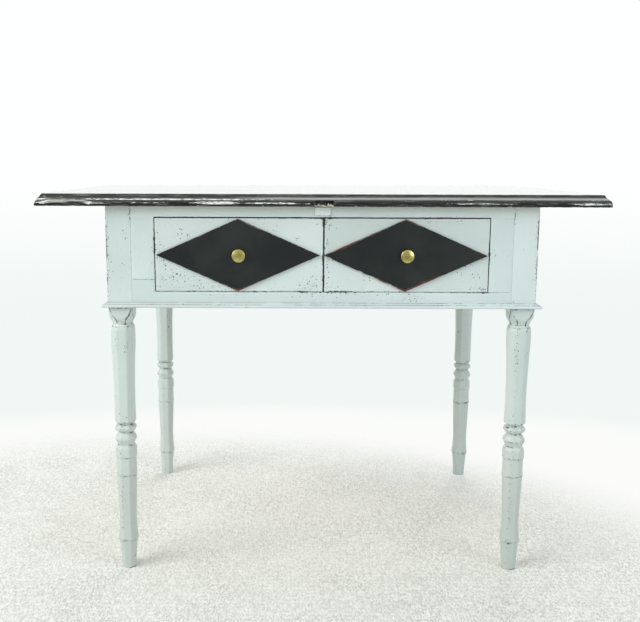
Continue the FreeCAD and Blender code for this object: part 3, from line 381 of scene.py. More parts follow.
def bare_wood(along):
    """Old softwood with its grain along an axis."""
    g = material_graph(f"bare_wood_{along.lower()}")
    here = g.place()
    rings = g.noise(g.drawn_out(here, along, 16), 42, 4, 0.55)
    bands = g.calc("SINE", g.times(rings, 42.0))
    fibre = g.noise(g.drawn_out(here, along, 40), 900, 3, 0.6)
    colour = g.mix(g.fade(bands, -0.6, 1.0), srgb(196, 162, 120), srgb(172, 132, 90))
    colour = g.mix(g.times(g.fade(fibre, 0.45, 0.75), 0.35), colour, srgb(140, 104, 70))
    stain = g.fade(g.noise(here, 7, 3, 0.6), 0.50, 0.75)
    colour = g.mix(g.times(stain, 0.4), colour, srgb(124, 94, 66))
    height = g.total(g.times(fibre, 0.5), g.times(bands, 0.12))
    return g.surface(Base_Color=colour, Roughness=0.68, Normal=g.bump(height, 0.2 * MM))


def soiled_and_shaded_wood():
    """Unpainted edge of a board: brown, and black near the table's front, where the black is painted shade that
    darkens the gaps round the drawers.
    """
    g = material_graph("soiled_and_shaded_wood")
    here = g.place()
    fibre = g.noise(g.drawn_out(here, "X", 12), 400, 4, 0.6)
    brown = g.mix(g.fade(fibre, 0.40, 0.62), srgb(128, 98, 70), srgb(88, 66, 48))
    gap_shade = g.mix(g.fade(fibre, 0.50, 0.72), srgb(15, 15, 14), srgb(46, 36, 30))
    # Painted shade: within a few millimetres of the front the edges turn black, so that the gaps round the drawers
    # read dark.
    behind_front = g.calc("SUBTRACT", g.axis(g.table_place(), "Y"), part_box("rail_top")[0].y)
    colour = g.mix(g.fade(behind_front, 6.5 * MM, 3.5 * MM), brown, gap_shade)
    return g.surface(Base_Color=colour, Roughness=0.8, Specular_IOR_Level=0.2, Normal=g.bump(fibre, 0.3 * MM))


def aged_brass():
    """Brass with a dull yellow-green bloom and fine scratches."""
    g = material_graph("aged_brass")
    here = g.place()
    bloom = g.noise(here, 90, 4, 0.6)
    scratch = g.noise(g.drawn_out(here, "Z", 8), 1600, 3, 0.6)
    colour = g.mix(g.fade(bloom, 0.35, 0.65), srgb(214, 202, 128), srgb(182, 170, 86))
    roughness = g.total(0.20, g.times(bloom, 0.22))
    height = g.total(g.times(scratch, 0.3), bloom)
    return g.surface(Base_Color=colour, Metallic=1.0, Roughness=roughness, Normal=g.bump(height, 0.03 * MM),
                     Coat_Weight=0.8, Coat_Roughness=0.12)


def dull_steel():
    """Grey plated steel with spots of rust."""
    g = material_graph("dull_steel")
    here = g.place()
    spots = g.fade(g.noise(here, 600, 4, 0.7), 0.55, 0.68)
    colour = g.mix(spots, srgb(150, 150, 148), srgb(104, 72, 52))
    roughness = g.total(0.38, g.times(spots, 0.4))
    return g.surface(Base_Color=colour, Metallic=0.85, Roughness=roughness,
                     Normal=g.bump(g.noise(here, 900, 3), 0.05 * MM))


PAINT = {axis: pale_paint("frame", axis) for axis in AXES}
DRAWER_PAINT, LEG_PAINT = pale_paint("drawer", "X"), pale_paint("leg", "Z")
WOOD = {axis: bare_wood(axis) for axis in AXES}
BLACK, LOZENGE_BLACK, STRAP_PAINT = black_paint("X"), lozenge_paint(), strap_paint()
SOILED_AND_SHADED, SPLINTERED, BRASS, STEEL = soiled_and_shaded_wood(), splintered_wood(), aged_brass(), dull_steel()


# ---------------------------------------------------------------- mesh helpers

MERGE = 0.01 * MM
ARRIS_ANGLE = math.radians(30)
FAR = 60 * MM


def shown(node, mesh, materials, attributes, sharp_angle=ARRIS_ANGLE):
    """A new piece that stands for a CAD node and rides on its body."""
    data = bpy.data.meshes.new(f"{node}_dressed")
    mesh.to_mesh(data)
    mesh.free()
    for key, values in attributes.items():
        data.attributes.new(key, "FLOAT", "POINT").data.foreach_set("value", values.astype(np.float32))
    data.shade_smooth()
    data.set_sharp_from_angle(angle=sharp_angle)
    piece = bpy.data.objects.new(f"{node}_dressed", data)
    bpy.context.scene.collection.objects.link(piece)
    for material in materials:
        data.materials.append(material)
    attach(piece, frame["nodes"][node]["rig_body"])
    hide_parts(node)
    return piece


def coordinates(mesh):
    return np.array([vertex.co for vertex in mesh.verts])


def distance_to_segments(points, segments):
    """Distance of each point to the nearest of some straight segments, up to FAR."""
    nearest = np.full(len(points), FAR)
    for start, end in segments:
        run = end - start
        share = np.clip((points - start) @ run / (run @ run), 0, 1)
        gap = np.linalg.norm(points - start - share[:, None] * run, axis=1)
        np.minimum(nearest, gap, out=nearest)
    return nearest


def cut(mesh, axis, position):
    """Splits every face that crosses a plane at a position on an axis."""
    normal = Vector(1.0 if number == axis else 0.0 for number in range(3))
    geometry = mesh.verts[:] + mesh.edges[:] + mesh.faces[:]
    bmesh.ops.bisect_plane(mesh, geom=geometry, dist=MERGE, plane_co=normal * position, plane_no=normal)


def dent(mesh, arris, within, soft, depth, pitch, seed):
    """Pushes the points near the arrises inwards: evenly by soft, and unevenly by up to depth."""
    mesh.normal_update()
    calm = paint_over(coordinates(mesh)) > 0
    moves = []
    for vertex, distance, is_calm in zip(mesh.verts, arris, calm):
        if distance > within:
            continue
        bite = noise.fractal(vertex.co / pitch + Vector((seed, 0, 0)), 0.8, 2.1, 4)
        uneven = 0.0 if is_calm else depth * max(0.0, bite)
        moves.append((vertex, vertex.normal * (soft + uneven)))
    for vertex, move in moves:
        vertex.co -= move


def cleaned(node):
    """A copy of a CAD node's mesh with its points joined up, and its convex arrises."""
    mesh = bmesh.new()
    mesh.from_mesh(frame["nodes"][node].data)
    bmesh.ops.remove_doubles(mesh, verts=mesh.verts, dist=MERGE)
    bmesh.ops.dissolve_limit(mesh, angle_limit=math.radians(0.5), verts=mesh.verts, edges=mesh.edges)
    mesh.normal_update()
    arrises = [edge for edge in mesh.edges
               if len(edge.link_faces) == 2 and edge.is_convex and edge.calc_face_angle() > ARRIS_ANGLE]
    return mesh, arrises


def as_segments(edges):
    return [tuple(np.array(vertex.co) for vertex in edge.verts) for edge in edges]


def grid_positions(mesh, segments, axis, step):
    """Where to cut along an axis: beside each arris that stands across it, and evenly at a step."""
    spots = coordinates(mesh)[:, axis]
    low, high = spots.min(), spots.max()
    across = [start[axis] for start, end in segments if abs(start[axis] - end[axis]) < MERGE]
    levels = {round(float(level), 5) for level in across}
    wanted = [level + side * offset for level in levels for side in (-1, 1) for offset in (1 * MM, 7 * MM)]
    if step:
        wanted += list(np.arange(low + step, high, step))
    kept = []
    for spot in sorted(wanted):
        clear = min((abs(spot - level) for level in levels), default=1.0) > 0.4 * MM
        if low + MERGE < spot < high - MERGE and clear and (not kept or spot - kept[-1] > 0.4 * MM):
            kept.append(spot)
    return kept


# ---------------------------------------------------------------- wear

front_face_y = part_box("rail_top")[0].y
opening_left, opening_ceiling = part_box("stile_left")[1].x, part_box("rail_top")[0].z
post_reach = {-1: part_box("leg_front_left")[1].x, 1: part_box("leg_front_right")[0].x}

# Patches of flaked paint on the front: x, z, half width, half height (mm), share of the paint's spots
WEAR_PATCHES = (
    (-290, 700, 5, 10, 0.45), (-261, 679, 18, 12, 0.22), (-309, 662, 9, 8, 0.50), (-297, 628, 14, 14, 0.35),
    (-272, 597, 34, 20, 0.38), (-232, 581, 40, 8, 0.35), (-114, 694, 22, 8, 0.22), (-55, 673, 12, 8, 0.20),
    (-3, 641, 8, 9, 0.70), (-20, 589, 15, 11, 0.65), (-39, 571, 15, 7, 0.75), (-95, 589, 8, 8, 0.35),
    (10, 708, 8, 9, 0.80), (9, 644, 6, 46, 0.35), (12, 582, 16, 8, 0.60), (283, 610, 15, 13, 0.42),
    (300, 580, 14, 6, 0.30), (176, 560, 24, 5, 0.60), (96, 598, 9, 8, 0.20), (238, 672, 9, 8, 0.20),
    (-377, 675, 6, 7, 0.40), (-384, 623, 5, 7, 0.35), (-346, 638, 4, 5, 0.30), (323, 646, 6, 5, 0.50),
    (-205, 566, 70, 7, 0.10), (90, 563, 60, 6, 0.10), (-150, 712, 60, 4, 0.10), (225, 712, 50, 4, 0.30),
    (-412, 664, 5, 42, 1.0), (-412, 600, 4, 22, 0.6), (412, 690, 5, 36, 1.0), (412, 620, 4, 40, 0.55),
    (-366, 724, 3, 20, 0.40), (366, 722, 3, 20, 0.40), (310, 578, 7, 6, 0.8), (34, 574, 40, 3, 0.5),
    (-319, 655, 4, 24, 0.25), (4, 590, 5, 20, 0.5),
)

# Knocked lengths of the top's front edge, whose pale marks on the nose are also painted glints of light: x, half
# length (mm), strength
EDGE_SCUFFS_AND_GLINTS = (
    (-480, 66, 1.7), (-330, 40, 0.6), (-200, 48, 1.45), (-92, 66, 1.1), (296, 70, 0.85), (500, 38, 1.2),
)

# How far each corner of the top is knocked back, in mm
CORNER_KNOCKS = {(-1, -1): 2.5, (1, -1): 0.6, (-1, 1): 1.2, (1, 1): 1.8}

# Knocked spots beside the arrises of a leg's front facet: side, z, half height, spread (mm), strength
LEG_KNOCKS = {
    "front_left": ((-1, 470, 32, 3.5, 0.30), (1, 462, 14, 3.5, 0.60), (1, 330, 20, 3.5, 0.20),
                   (-1, 262, 16, 3.5, 0.60), (-1, 120, 60, 3.5, 0.35), (-1, 199, 3, 8, 1.6), (1, 200, 4, 3, 0.8),
                   (-1, 61, 3, 8, 1.5)),
    "front_right": ((-1, 470, 34, 3.5, 0.55), (-1, 438, 16, 3.5, 0.90), (-1, 330, 50, 3.5, 0.15),
                    (-1, 255, 20, 3.5, 0.50), (-1, 150, 45, 3.5, 0.45), (1, 500, 8, 3.5, 0.60),
                    (-1, 198, 3, 4, 1.2), (1, 199, 3, 3, 0.6), (-1, 61, 3, 10, 1.8), (-1, 45, 14, 5, 0.3)),
    "back_left": ((-1, 216, 8, 3.5, 0.20), (1, 199, 3, 4, 1.2), (-1, 61, 3, 4, 1.4)),
    "back_right": ((1, 310, 8, 3.5, 0.60), (1, 199, 3, 5, 1.2), (1, 61, 3, 6, 1.2)),
}

# Joints that paint has filled, as boxes: low corner, high corner
FILLED_JOINTS = tuple(
    (Vector((min(side * opening_left, side * 2 * opening_left), front_face_y - 1 * MM, opening_ceiling - 2 * MM)),
     Vector((max(side * opening_left, side * 2 * opening_left), front_face_y + 1 * MM, opening_ceiling + 2 * MM)))
    for side in (-1, 1))


def wear_at(points):
    """How much paint has flaked off at each point of the front."""
    total = np.zeros(len(points))
    on_front = points[:, 1] < front_face_y + 3 * MM
    for x, z, half_x, half_z, strength in WEAR_PATCHES:
        aside = (points[:, 0] - x * MM) / (half_x * MM)
        above = (points[:, 2] - z * MM) / (half_z * MM)
        np.maximum(total, strength * np.exp(-aside ** 2 - above ** 2), out=total)
    return total * on_front


def filled(points):
    """Which points lie in a joint that paint has filled."""
    inside = np.zeros(len(points), dtype=bool)
    for low, high in FILLED_JOINTS:
        inside |= ((points > np.array(low)) & (points < np.array(high))).all(axis=1)
    return inside


def paint_over(points):
    """How far paint has run over the front joints beside the posts: well below, thinly where it cracked."""
    beside = np.zeros(len(points), dtype=bool)
    for reach in post_reach.values():
        beside |= abs(points[:, 0] - reach) < 2 * MM
    beside &= (abs(points[:, 1] - front_face_y) < 3 * MM) & (points[:, 2] > 0.5)
    cracked = points[:, 2] > opening_ceiling - 14 * MM
    return beside * np.where(cracked, 0.5 * MM, 1.3 * MM)


# ---------------------------------------------------------------- boards

def board(node, finish, steps, sides=(), soft=0.25 * MM, depth=0.45 * MM, pitch=8 * MM):
    """A CAD board with its faces divided and its arrises worn; sides gives other finishes by direction."""
    mesh, arrises = cleaned(node)
    segments = as_segments(arrises)
    for name, axis in AXES.items():
        for spot in grid_positions(mesh, segments, axis, steps.get(name, 0)):
            cut(mesh, axis, spot)
    points = coordinates(mesh)
    arris = distance_to_segments(points, segments)
    arris[filled(points)] = FAR
    finishes = [finish]
    mesh.normal_update()
    for direction, other in sides:
        if other not in finishes:
            finishes.append(other)
        for face in mesh.faces:
            if face.normal.dot(direction) > 0.8:
                face.material_index = finishes.index(other)
    dent(mesh, arris, MERGE, soft, depth, pitch, len(node))
    arris += paint_over(points)
    rubbing = np.full(len(points), 1.0 if node.startswith("moulding") else 0.0)
    attributes = {"arris": arris, "wear": wear_at(points), "rubbing": rubbing}
    return shown(node, mesh, finishes, attributes)


def scuffs_and_glints_at(points):
    """How knocked the top's edge is at each point, which also places its painted glints: by the listed front
    scuffs in front, and at random elsewhere.
    """
    scuffs_and_glints = np.array([0.9 * max(0.0, noise.noise(Vector(point) * 6)) for point in points])
    front = points[:, 1] < cad_bounds[0][1] + 13 * MM
    along = np.zeros(len(points))
    for x, half, strength in EDGE_SCUFFS_AND_GLINTS:
        np.maximum(along, strength * np.exp(-((points[:, 0] - x * MM) / (half * MM)) ** 4), out=along)
    return np.where(front, along, scuffs_and_glints)


def knock_corners(mesh, under):
    """Pushes the top's corners inwards at their nose."""
    for (side, end), amount in CORNER_KNOCKS.items():
        corner_x, corner_y = cad_bounds[side > 0][0], cad_bounds[end > 0][1]
        for vertex in mesh.verts:
            away = abs(vertex.co.x - corner_x) + abs(vertex.co.y - corner_y)
            height = (vertex.co.z - under - NOSE_LINE) / (4.5 * MM)
            share = amount * MM * math.exp(-(away / (16 * MM)) ** 2 - height ** 2)
            if share > MERGE:
                vertex.co.x -= side * share
                vertex.co.y -= end * share * 0.5


def notch_faces(mesh, under):
    """The walls and ceiling of the notch in the top's front edge, none on the other boards."""
    back_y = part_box("rail_top")[0].y
    depth_low, depth_high = cad_bounds[0][1] + 9 * MM, cad_bounds[0][1] + 13 * MM
    reach = [vertex.co.x for vertex in mesh.verts
             if depth_low < vertex.co.y < depth_high and 8 * MM < vertex.co.z - under < 13 * MM
             and abs(vertex.co.x) < 60 * MM]
    if not reach:
        return []
    found = []
    for face in mesh.faces:
        middle = face.calc_center_median()
        inside = min(reach) - 0.2 * MM < middle.x < max(reach) + 0.2 * MM and middle.y < depth_high < back_y
        facing = face.normal.dot(FRONT) > 0.8 or abs(face.normal.x) > 0.8 or face.normal.dot(DOWN) > 0.8
        if inside and facing and 0.3 * MM < middle.z - under < 13 * MM:
            found.append(face)
    return found


def top_board(number_name, step):
    """A board of the top: its outer moulding rounded on every arris, and worn on its ledge, where the pale wear
    also serves as a painted highlight.
    """
    node = f"top_board_{number_name}"
    low, high = cad_bounds
    mesh, arrises = cleaned(node)
    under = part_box(node)[0].z

    def on_rim(edge):
        middle = (edge.verts[0].co + edge.verts[1].co) / 2
        return min(middle.x - low[0], high[0] - middle.x, middle.y - low[1], high[1] - middle.y) < 13 * MM

    rim = [edge for edge in arrises if on_rim(edge)]
    segments = as_segments(rim)
    ledge = [(start, end) for start, end in segments
             if max(abs(start[2] - under - TOP_LEDGE), abs(end[2] - under - TOP_LEDGE)) < 1.5 * MM]
    for axis, spacing in ((0, step), (1, 2 * step)):
        for spot in grid_positions(mesh, [], axis, spacing):
            cut(mesh, axis, spot)
    rim = [edge for edge in mesh.edges if len(edge.link_faces) == 2 and edge.is_convex
           and edge.calc_face_angle() > ARRIS_ANGLE and on_rim(edge)]
    bmesh.ops.bevel(mesh, geom=rim, offset=0.7 * MM, offset_type="OFFSET", segments=3, profile=0.5,
                    affect="EDGES", clamp_overlap=True)
    points = coordinates(mesh)
    arris = distance_to_segments(points, segments)
    mesh.normal_update()
    for face in mesh.faces:
        if face.normal.dot(DOWN) > 0.9:
            face.material_index = 1
    for face in notch_faces(mesh, under):
        face.material_index = 2
    dent(mesh, arris, 0.9 * MM, 0.0, 1.1 * MM, 6 * MM, len(node))
    attributes = {"arris": arris, "ledge": distance_to_segments(points, ledge), "scuffs_and_glints": scuffs_and_glints_at(points)}
    knock_corners(mesh, under)
    return shown(node, mesh, [BLACK, WOOD["X"], SPLINTERED], attributes, math.radians(50))


# ---------------------------------------------------------------- carved legs

RING_POINTS = 128
ROUNDING = 38              # the higher, the sharper the arrises between a leg's facets
SPLIT_LIFT = 3 * MM        # where the carved part joins the post, hidden behind the moulding
FACETS = [(turn * math.pi / 4, turn % 2) for turn in range(8)]

# What hand carving adds to each leg's half width, in mm, along the shaft and down at the calf
CARVING = {
    "front_left": (0.55, 0.1),
    "front_right": (-0.1, -0.35),
    "back_left": (0.2, 0.0),
    "back_right": (0.3, 0.2),
}


def carved_profile(node, centre, top):
    """Half widths across a leg's faces and across its corners, at each level of its carved part."""
    spots = np.array([vertex.co for vertex in frame["nodes"][node].data.vertices])
    spots = spots[spots[:, 2] < top]
    levels = np.round(spots[:, 2], 5)
    rows = []
    for level in np.unique(levels):
        flat = np.abs(spots[levels == level][:, :2] - centre)
        if len(flat) >= 8:
            rows.append((level, flat.max(), flat.sum(axis=1).max() / math.sqrt(2)))
    return np.array(rows).T


def ring(face, corner, groove, height, seed):
    """Points round a leg at one height, with their distance to the nearest arris between facets."""
    points, gaps = [], []
    arris_angle = math.atan2(corner * math.sqrt(2) - face, face)
    for number in range(RING_POINTS):
        angle = 2 * math.pi * number / RING_POINTS
        total = 0.0
        for facing, slanted in FACETS:
            across = math.cos(angle - facing) / (corner if slanted else face)
            total += max(across, 0.0) ** ROUNDING
        radius = total ** (-1 / ROUNDING)
        from_face = abs((angle + math.pi / 4) % (math.pi / 2) - math.pi / 4)
        gap = radius * abs(from_face - arris_angle)
        radius -= groove * math.exp(-(gap / (1.1 * MM)) ** 2)
        where = Vector((math.cos(angle), math.sin(angle), 0)) * radius
        spot = where + Vector((seed, 0, height))
        radius += 0.3 * MM * noise.noise(spot * 25)
        if gap < 1.2 * MM:
            radius -= 0.8 * MM * max(0.0, noise.fractal(spot * 110, 0.8, 2.1, 4) - 0.1)
        points.append((math.cos(angle) * radius, math.sin(angle) * radius))
        gaps.append(gap)
    return points, gaps


def knocked(name, height, x, y, gap):
    """How many spots of paint are knocked off at a point of a leg's ring, a gap away from an arris."""
    strongest = 0.04 * max(0.0, noise.noise(Vector((x, y, height)) * 20 + Vector((len(name), 0, 0))))
    if y > 0 or abs(x) > 0.75 * abs(y):
        return strongest
    for side, middle, half, spread, strength in LEG_KNOCKS[name]:
        if side * x > 0:
            along = math.exp(-((height - middle * MM) / (half * MM)) ** 2)
            strongest = max(strongest, strength * along * math.exp(-(gap / (spread * MM)) ** 2))
    return strongest


def leg(name, seed):
    """A leg: its carved part remade with rounded arrises and lips, joined to its CAD post."""
    node = f"leg_{name}"
    low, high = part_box(node)
    centre = np.array(((low.x + high.x) / 2, (low.y + high.y) / 2))
    apron_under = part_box("apron_left")[0].z
    split = apron_under + SPLIT_LIFT
    levels, faces, corners = carved_profile(node, centre, split)
    wanted = list(np.arange(0, split, 3 * MM))
    for level in levels:
        wanted += [level + shift * MM for shift in (-1.0, -0.5, 0.0, 0.5, 1.0)]
    heights = []
    for height in sorted(wanted):
        if 0 <= height < split - 0.2 * MM and (not heights or height - heights[-1] > 0.12 * MM):
            heights.append(height)
    on_shaft, on_calf = CARVING[name]

    def widths(height):
        near = [np.clip(height + shift * MM, 0, split) for shift in (-0.4, 0.0, 0.4)]
        return [float(np.mean(np.interp(near, levels, values))) for values in (faces, corners)]

    def added(height):
        shaft = math.exp(-((height - 0.41) / 0.08) ** 2)
        calf = math.exp(-((height - 0.13) / 0.06) ** 2)
        return (on_shaft * shaft + on_calf * calf) * MM

    post_half = (high.x - low.x) / 2
    capital_foot = next(z for z in heights if z > apron_under - 40 * MM and widths(z)[0] > 0.85 * post_half)

    mesh = bmesh.new()
    arris, grime_and_shade, knocks, rings = [], [], [], []
    for height in heights:
        face, corner = widths(height)
        bend = sum(widths(height + shift)[0] for shift in (-1.8 * MM, 1.8 * MM)) / 2 - face
        on_capital = capital_foot < height < apron_under
        groove = 0.8 * MM if on_capital else 0.0
        points, gaps = ring(face + added(height), corner + added(height), groove, height, seed)
        rings.append([mesh.verts.new((centre[0] + x, centre[1] + y, height)) for x, y in points])
        lip = max(0.15, 1.0 + bend / (0.5 * MM)) * 3 * MM if bend < 0 else FAR
        hollow = min(1.0, max(0.0, bend / (0.8 * MM)))
        arris += [min(gap + (3 * MM if on_capital else 0.9 * MM), lip) for gap in gaps]
        # Darkening in the profile's hollows, along the capital's carved lines and in seams at the capital's foot
        # and under the apron: partly grime, partly painted shade; the line at the floor is a painted contact
        # shadow.
        seam = 1.1 if abs(height - (apron_under - 1.5 * MM)) < 1.5 * MM or height < 1.8 * MM else 0.0
        over_neck = min(1.0, max(0.0, (height - capital_foot) / (9 * MM)))
        lines = [2.5 * over_neck * math.exp(-(gap / (1.15 * MM)) ** 2) if on_capital else 0.0 for gap in gaps]
        if abs(height - capital_foot) < 1.5 * MM:
            seam = 1.0
        grime_and_shade += [max(hollow, seam, line) for line in lines]
        knocks += [knocked(name, height, x, y, gap) for (x, y), gap in zip(points, gaps)]
    for below, above in zip(rings, rings[1:]):
        for number in range(RING_POINTS):
            following = (number + 1) % RING_POINTS
            mesh.faces.new((below[number], below[following], above[following], above[number]))
    mesh.faces.new(list(reversed(rings[0])))
    carved_rim = [mesh.edges.get((rings[-1][number], rings[-1][number - 1])) for number in range(RING_POINTS)]

    post, post_arrises = cleaned(node)
    segments = as_segments(post_arrises)
    bmesh.ops.bisect_plane(post, geom=post.verts[:] + post.edges[:] + post.faces[:], dist=MERGE,
                           plane_co=(0, 0, split), plane_no=(0, 0, 1), clear_inner=True)
    for axis, step in ((0, 0), (1, 0), (2, 6 * MM)):
        for spot in grid_positions(post, segments, axis, step):
            cut(post, axis, spot)
    post_arris = distance_to_segments(coordinates(post), segments)
    post_points = coordinates(post)
    dent(post, post_arris, MERGE, 0.25 * MM, 0.9 * MM, 8 * MM, seed)
    arris += list(post_arris + paint_over(post_points))
    grime_and_shade += [0.0] * len(post_arris)
    copies = [mesh.verts.new(vertex.co) for vertex in post.verts]
    post.verts.index_update()
    for face in post.faces:
        mesh.faces.new([copies[vertex.index] for vertex in face.verts])
    post.free()
    post_rim = [edge for edge in mesh.edges
                if edge.is_boundary and all(vertex.co.z < split + MERGE for vertex in edge.verts)
                and edge not in carved_rim]
    bmesh.ops.bridge_loops(mesh, edges=carved_rim + post_rim)
    bmesh.ops.recalc_face_normals(mesh, faces=mesh.faces)
    wear = wear_at(coordinates(mesh))
    knocks += [0.0] * (len(wear) - len(knocks))
    attributes = {"arris": np.array(arris), "grime_and_shade": np.array(grime_and_shade), "wear": wear, "knocks": np.array(knocks)}
    # The back legs keep the lighter frame tones all the way down: a painted lift that makes up for the shade they
    # stand in, while the front legs' carved parts take the darker leg tones.
    paint = LEG_PAINT if name.startswith("front") else PAINT["Z"]
    return shown(node, mesh, [paint], attributes)


# ---------------------------------------------------------------- lozenges and knobs

LOZENGE_SIDE_POINTS = 90
LOZENGE_BEVEL = 0.9 * MM
LOZENGE_INSETS = (0.0, 0.3, 0.6, 0.9, 1.7, 3.0, 5.0, 7.0, 10.0, 14.0, 22.0, 40.0)      # in mm
STEM_HOLE = 2.6 * MM

# Where each lozenge is worn to the wood: middle, half length (shares of its outline from the left tip,
# over the top) and strength
BROWNED = {
    "left": ((0.75, 0.028, 1.0), (0.30, 0.02, 0.35), (0.70, 0.02, 0.5)),
    "right": ((0.07, 0.035, 0.9), (0.15, 0.02, 0.5), (0.69, 0.035, 1.0), (0.75, 0.025, 1.0), (0.82, 0.03, 0.5),
              (0.27, 0.02, 0.4)),
}


def lozenge(side, seed):
    """A raised lozenge with a bevelled, slightly uneven edge and a hole for the knob's stem."""
    node = f"drawer_{side}_lozenge"
    low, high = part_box(node)
    centre = (low + high) / 2
    knob_low, knob_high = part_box(f"drawer_{side}_knob")
    stem_x = (knob_low.x + knob_high.x) / 2 - centre.x
    wide, tall = (high.x - low.x) / 2, (high.z - low.z) / 2
    depth = wide * tall / math.hypot(wide, tall)
    corners = [Vector((-wide, 0)), Vector((0, tall)), Vector((wide, 0)), Vector((0, -tall))]
    outline = []
    for start, end in zip(corners, corners[1:] + corners[:1]):
        outline += [start.lerp(end, number / LOZENGE_SIDE_POINTS) for number in range(LOZENGE_SIDE_POINTS)]
    browned = []
    for number in range(len(outline)):
        share = number / len(outline)
        browned.append(max(strength * math.exp(-((share - middle) / half) ** 2)
                           for middle, half, strength in BROWNED[side]))

    mesh = bmesh.new()
    rings, arris = [], []

    def add_ring(inset, y, hole=False):
        row = []
        for spot in outline:
            flat = spot * (1 - inset / depth)
            if hole:
                flat = Vector((stem_x, 0)) + (spot - Vector((stem_x, 0))).normalized() * STEM_HOLE
            elif inset < 2 * MM:
                bite = noise.fractal(Vector((spot.x, spot.y, seed)) * 160, 0.8, 2.1, 4)
                off_tip = 1 - abs(spot.x) / wide
                flat = flat * (1 - 0.9 * MM * off_tip * max(0.0, bite - 0.1) / depth)
            row.append(mesh.verts.new((centre.x + flat.x, y, centre.z + flat.y)))
            arris.append(max(0.0, inset - LOZENGE_BEVEL))
        rings.append(row)

    for inset in (40.0, 0.0):
        add_ring(inset * MM, high.y)
    for inset in LOZENGE_INSETS:
        add_ring(inset * MM, low.y + max(0.0, LOZENGE_BEVEL - inset * MM))
    add_ring(FAR, low.y, hole=True)
    add_ring(FAR, high.y, hole=True)
    count = len(outline)
    for number in range(len(rings)):
        one, other = rings[number - 1], rings[number]
        for spot in range(count):
            following = (spot + 1) % count
            mesh.faces.new((one[spot], other[spot], other[following], one[following]))
    bmesh.ops.recalc_face_normals(mesh, faces=mesh.faces)
    below = [1.0 if spot.y < 0 and spot.x < 0.1 * wide else 0.15 for spot in outline]
    attributes = {"arris": np.array(arris), "below": np.tile(below, len(rings)),
                  "browned": np.tile(browned, len(rings))}
    return shown(node, mesh, [LOZENGE_BLACK], attributes)


KNOB_TURNS = 96


def knob(side):
    """A turned brass knob: a slightly domed face with a rounded rim, a waisted neck, a base and its stem."""
    node = f"drawer_{side}_knob"
    low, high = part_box(node)
    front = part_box(f"drawer_{side}_lozenge")[0].y
    centre = (low + high) / 2
    radius = (high.x - low.x) / 2 - 0.3 * MM
    bead = 1.2 * MM
    dome = 1.9 * MM
    flat = radius - bead
    rows = [(flat * share, low.y + dome * share ** 2) for share in (0.0, 0.15, 0.3, 0.45, 0.6, 0.75, 0.9)]
    for number in range(11):
        angle = math.pi * number / 10
        rows.append((flat + bead * math.sin(angle), low.y + dome + bead - bead * math.cos(angle)))
    neck = 5.2 * MM
    for number in range(1, 9):
        share = number / 8
        rows.append((neck + (flat - neck) * (1 - share) ** 2.2, low.y + dome + 2 * bead + share * 4.4 * MM))
    rows += [(neck, front - 4.0 * MM), (neck + 1.2 * MM, front - 3.0 * MM), (8.0 * MM, front - 1.9 * MM),
             (8.0 * MM, front - 0.2 * MM), (7.8 * MM, front), (2.5 * MM, front), (2.5 * MM, high.y), (0.0, high.y)]
    mesh = bmesh.new()
    rings = []
    for reach, y in rows:
        points = []
        for number in range(1 if reach == 0 else KNOB_TURNS):
            angle = 2 * math.pi * number / KNOB_TURNS
            points.append(mesh.verts.new((centre.x + reach * math.cos(angle), y,
                                          centre.z + reach * math.sin(angle))))
        rings.append(points)
    for one, other in zip(rings, rings[1:]):
        for number in range(KNOB_TURNS):
            corners = [one[number % len(one)], one[(number + 1) % len(one)],
                       other[(number + 1) % len(other)], other[number % len(other)]]
            mesh.faces.new(list(dict.fromkeys(corners)))
    bmesh.ops.recalc_face_normals(mesh, faces=mesh.faces)
    return shown(node, mesh, [BRASS], {})


# ---------------------------------------------------------------- the table's pieces

ALONG_STEP = 5 * MM
TOP_STEP = 5 * MM
FRONT_STEP = 6 * MM

for leg_number, leg_name in enumerate(CARVING):
    leg(leg_name, 3.1 * leg_number + 1.7)

# Boards by the axis they run along, with the finish of the sides that aren't painted; the sides round the drawer
# openings are black near the front, as painted shade in the gaps
BOARDS = {
    "X": {
        "apron_back": ((FRONT, WOOD["X"]),),
        "rail_top": ((BACK, WOOD["X"]), (DOWN, SOILED_AND_SHADED)),
        "rail_bottom": ((BACK, WOOD["X"]), (UP, SOILED_AND_SHADED)),
        "moulding_front": (),
        "moulding_back": (),
        "drawer_left_front": ((BACK, WOOD["X"]), (LEFT, SOILED_AND_SHADED), (RIGHT, SOILED_AND_SHADED), (UP, SOILED_AND_SHADED), (DOWN, SOILED_AND_SHADED)),
        "drawer_right_front": ((BACK, WOOD["X"]), (LEFT, SOILED_AND_SHADED), (RIGHT, SOILED_AND_SHADED), (UP, SOILED_AND_SHADED), (DOWN, SOILED_AND_SHADED)),
    },
    "Y": {
        "apron_left": ((RIGHT, WOOD["Y"]),),
        "apron_right": ((LEFT, WOOD["Y"]),),
        "moulding_left": (),
        "moulding_right": (),
    },
    "Z": {
        "stile_left": ((BACK, WOOD["Z"]), (RIGHT, SOILED_AND_SHADED)),
        "stile_right": ((BACK, WOOD["Z"]), (LEFT, SOILED_AND_SHADED)),
    },
}
for axis_name, boards in BOARDS.items():
    for board_name, other_sides in boards.items():
        board_steps = {axis_name: ALONG_STEP}
        if board_name.endswith("_front") or board_name == "rail_bottom":
            board_steps["Z"] = FRONT_STEP
        board_paint = DRAWER_PAINT if board_name.startswith("drawer") else PAINT[axis_name]
        board(board_name, board_paint, board_steps, other_sides)

for board_name in ("front", "middle", "back"):
    top_board(board_name, TOP_STEP)
board("catch_strap", STRAP_PAINT, {"X": 2 * MM, "Z": 3 * MM}, depth=1.4 * MM, pitch=4 * MM)

for drawer_side in ("left", "right"):
    lozenge(drawer_side, 2.3 if drawer_side == "left" else 7.9)
    knob(drawer_side)

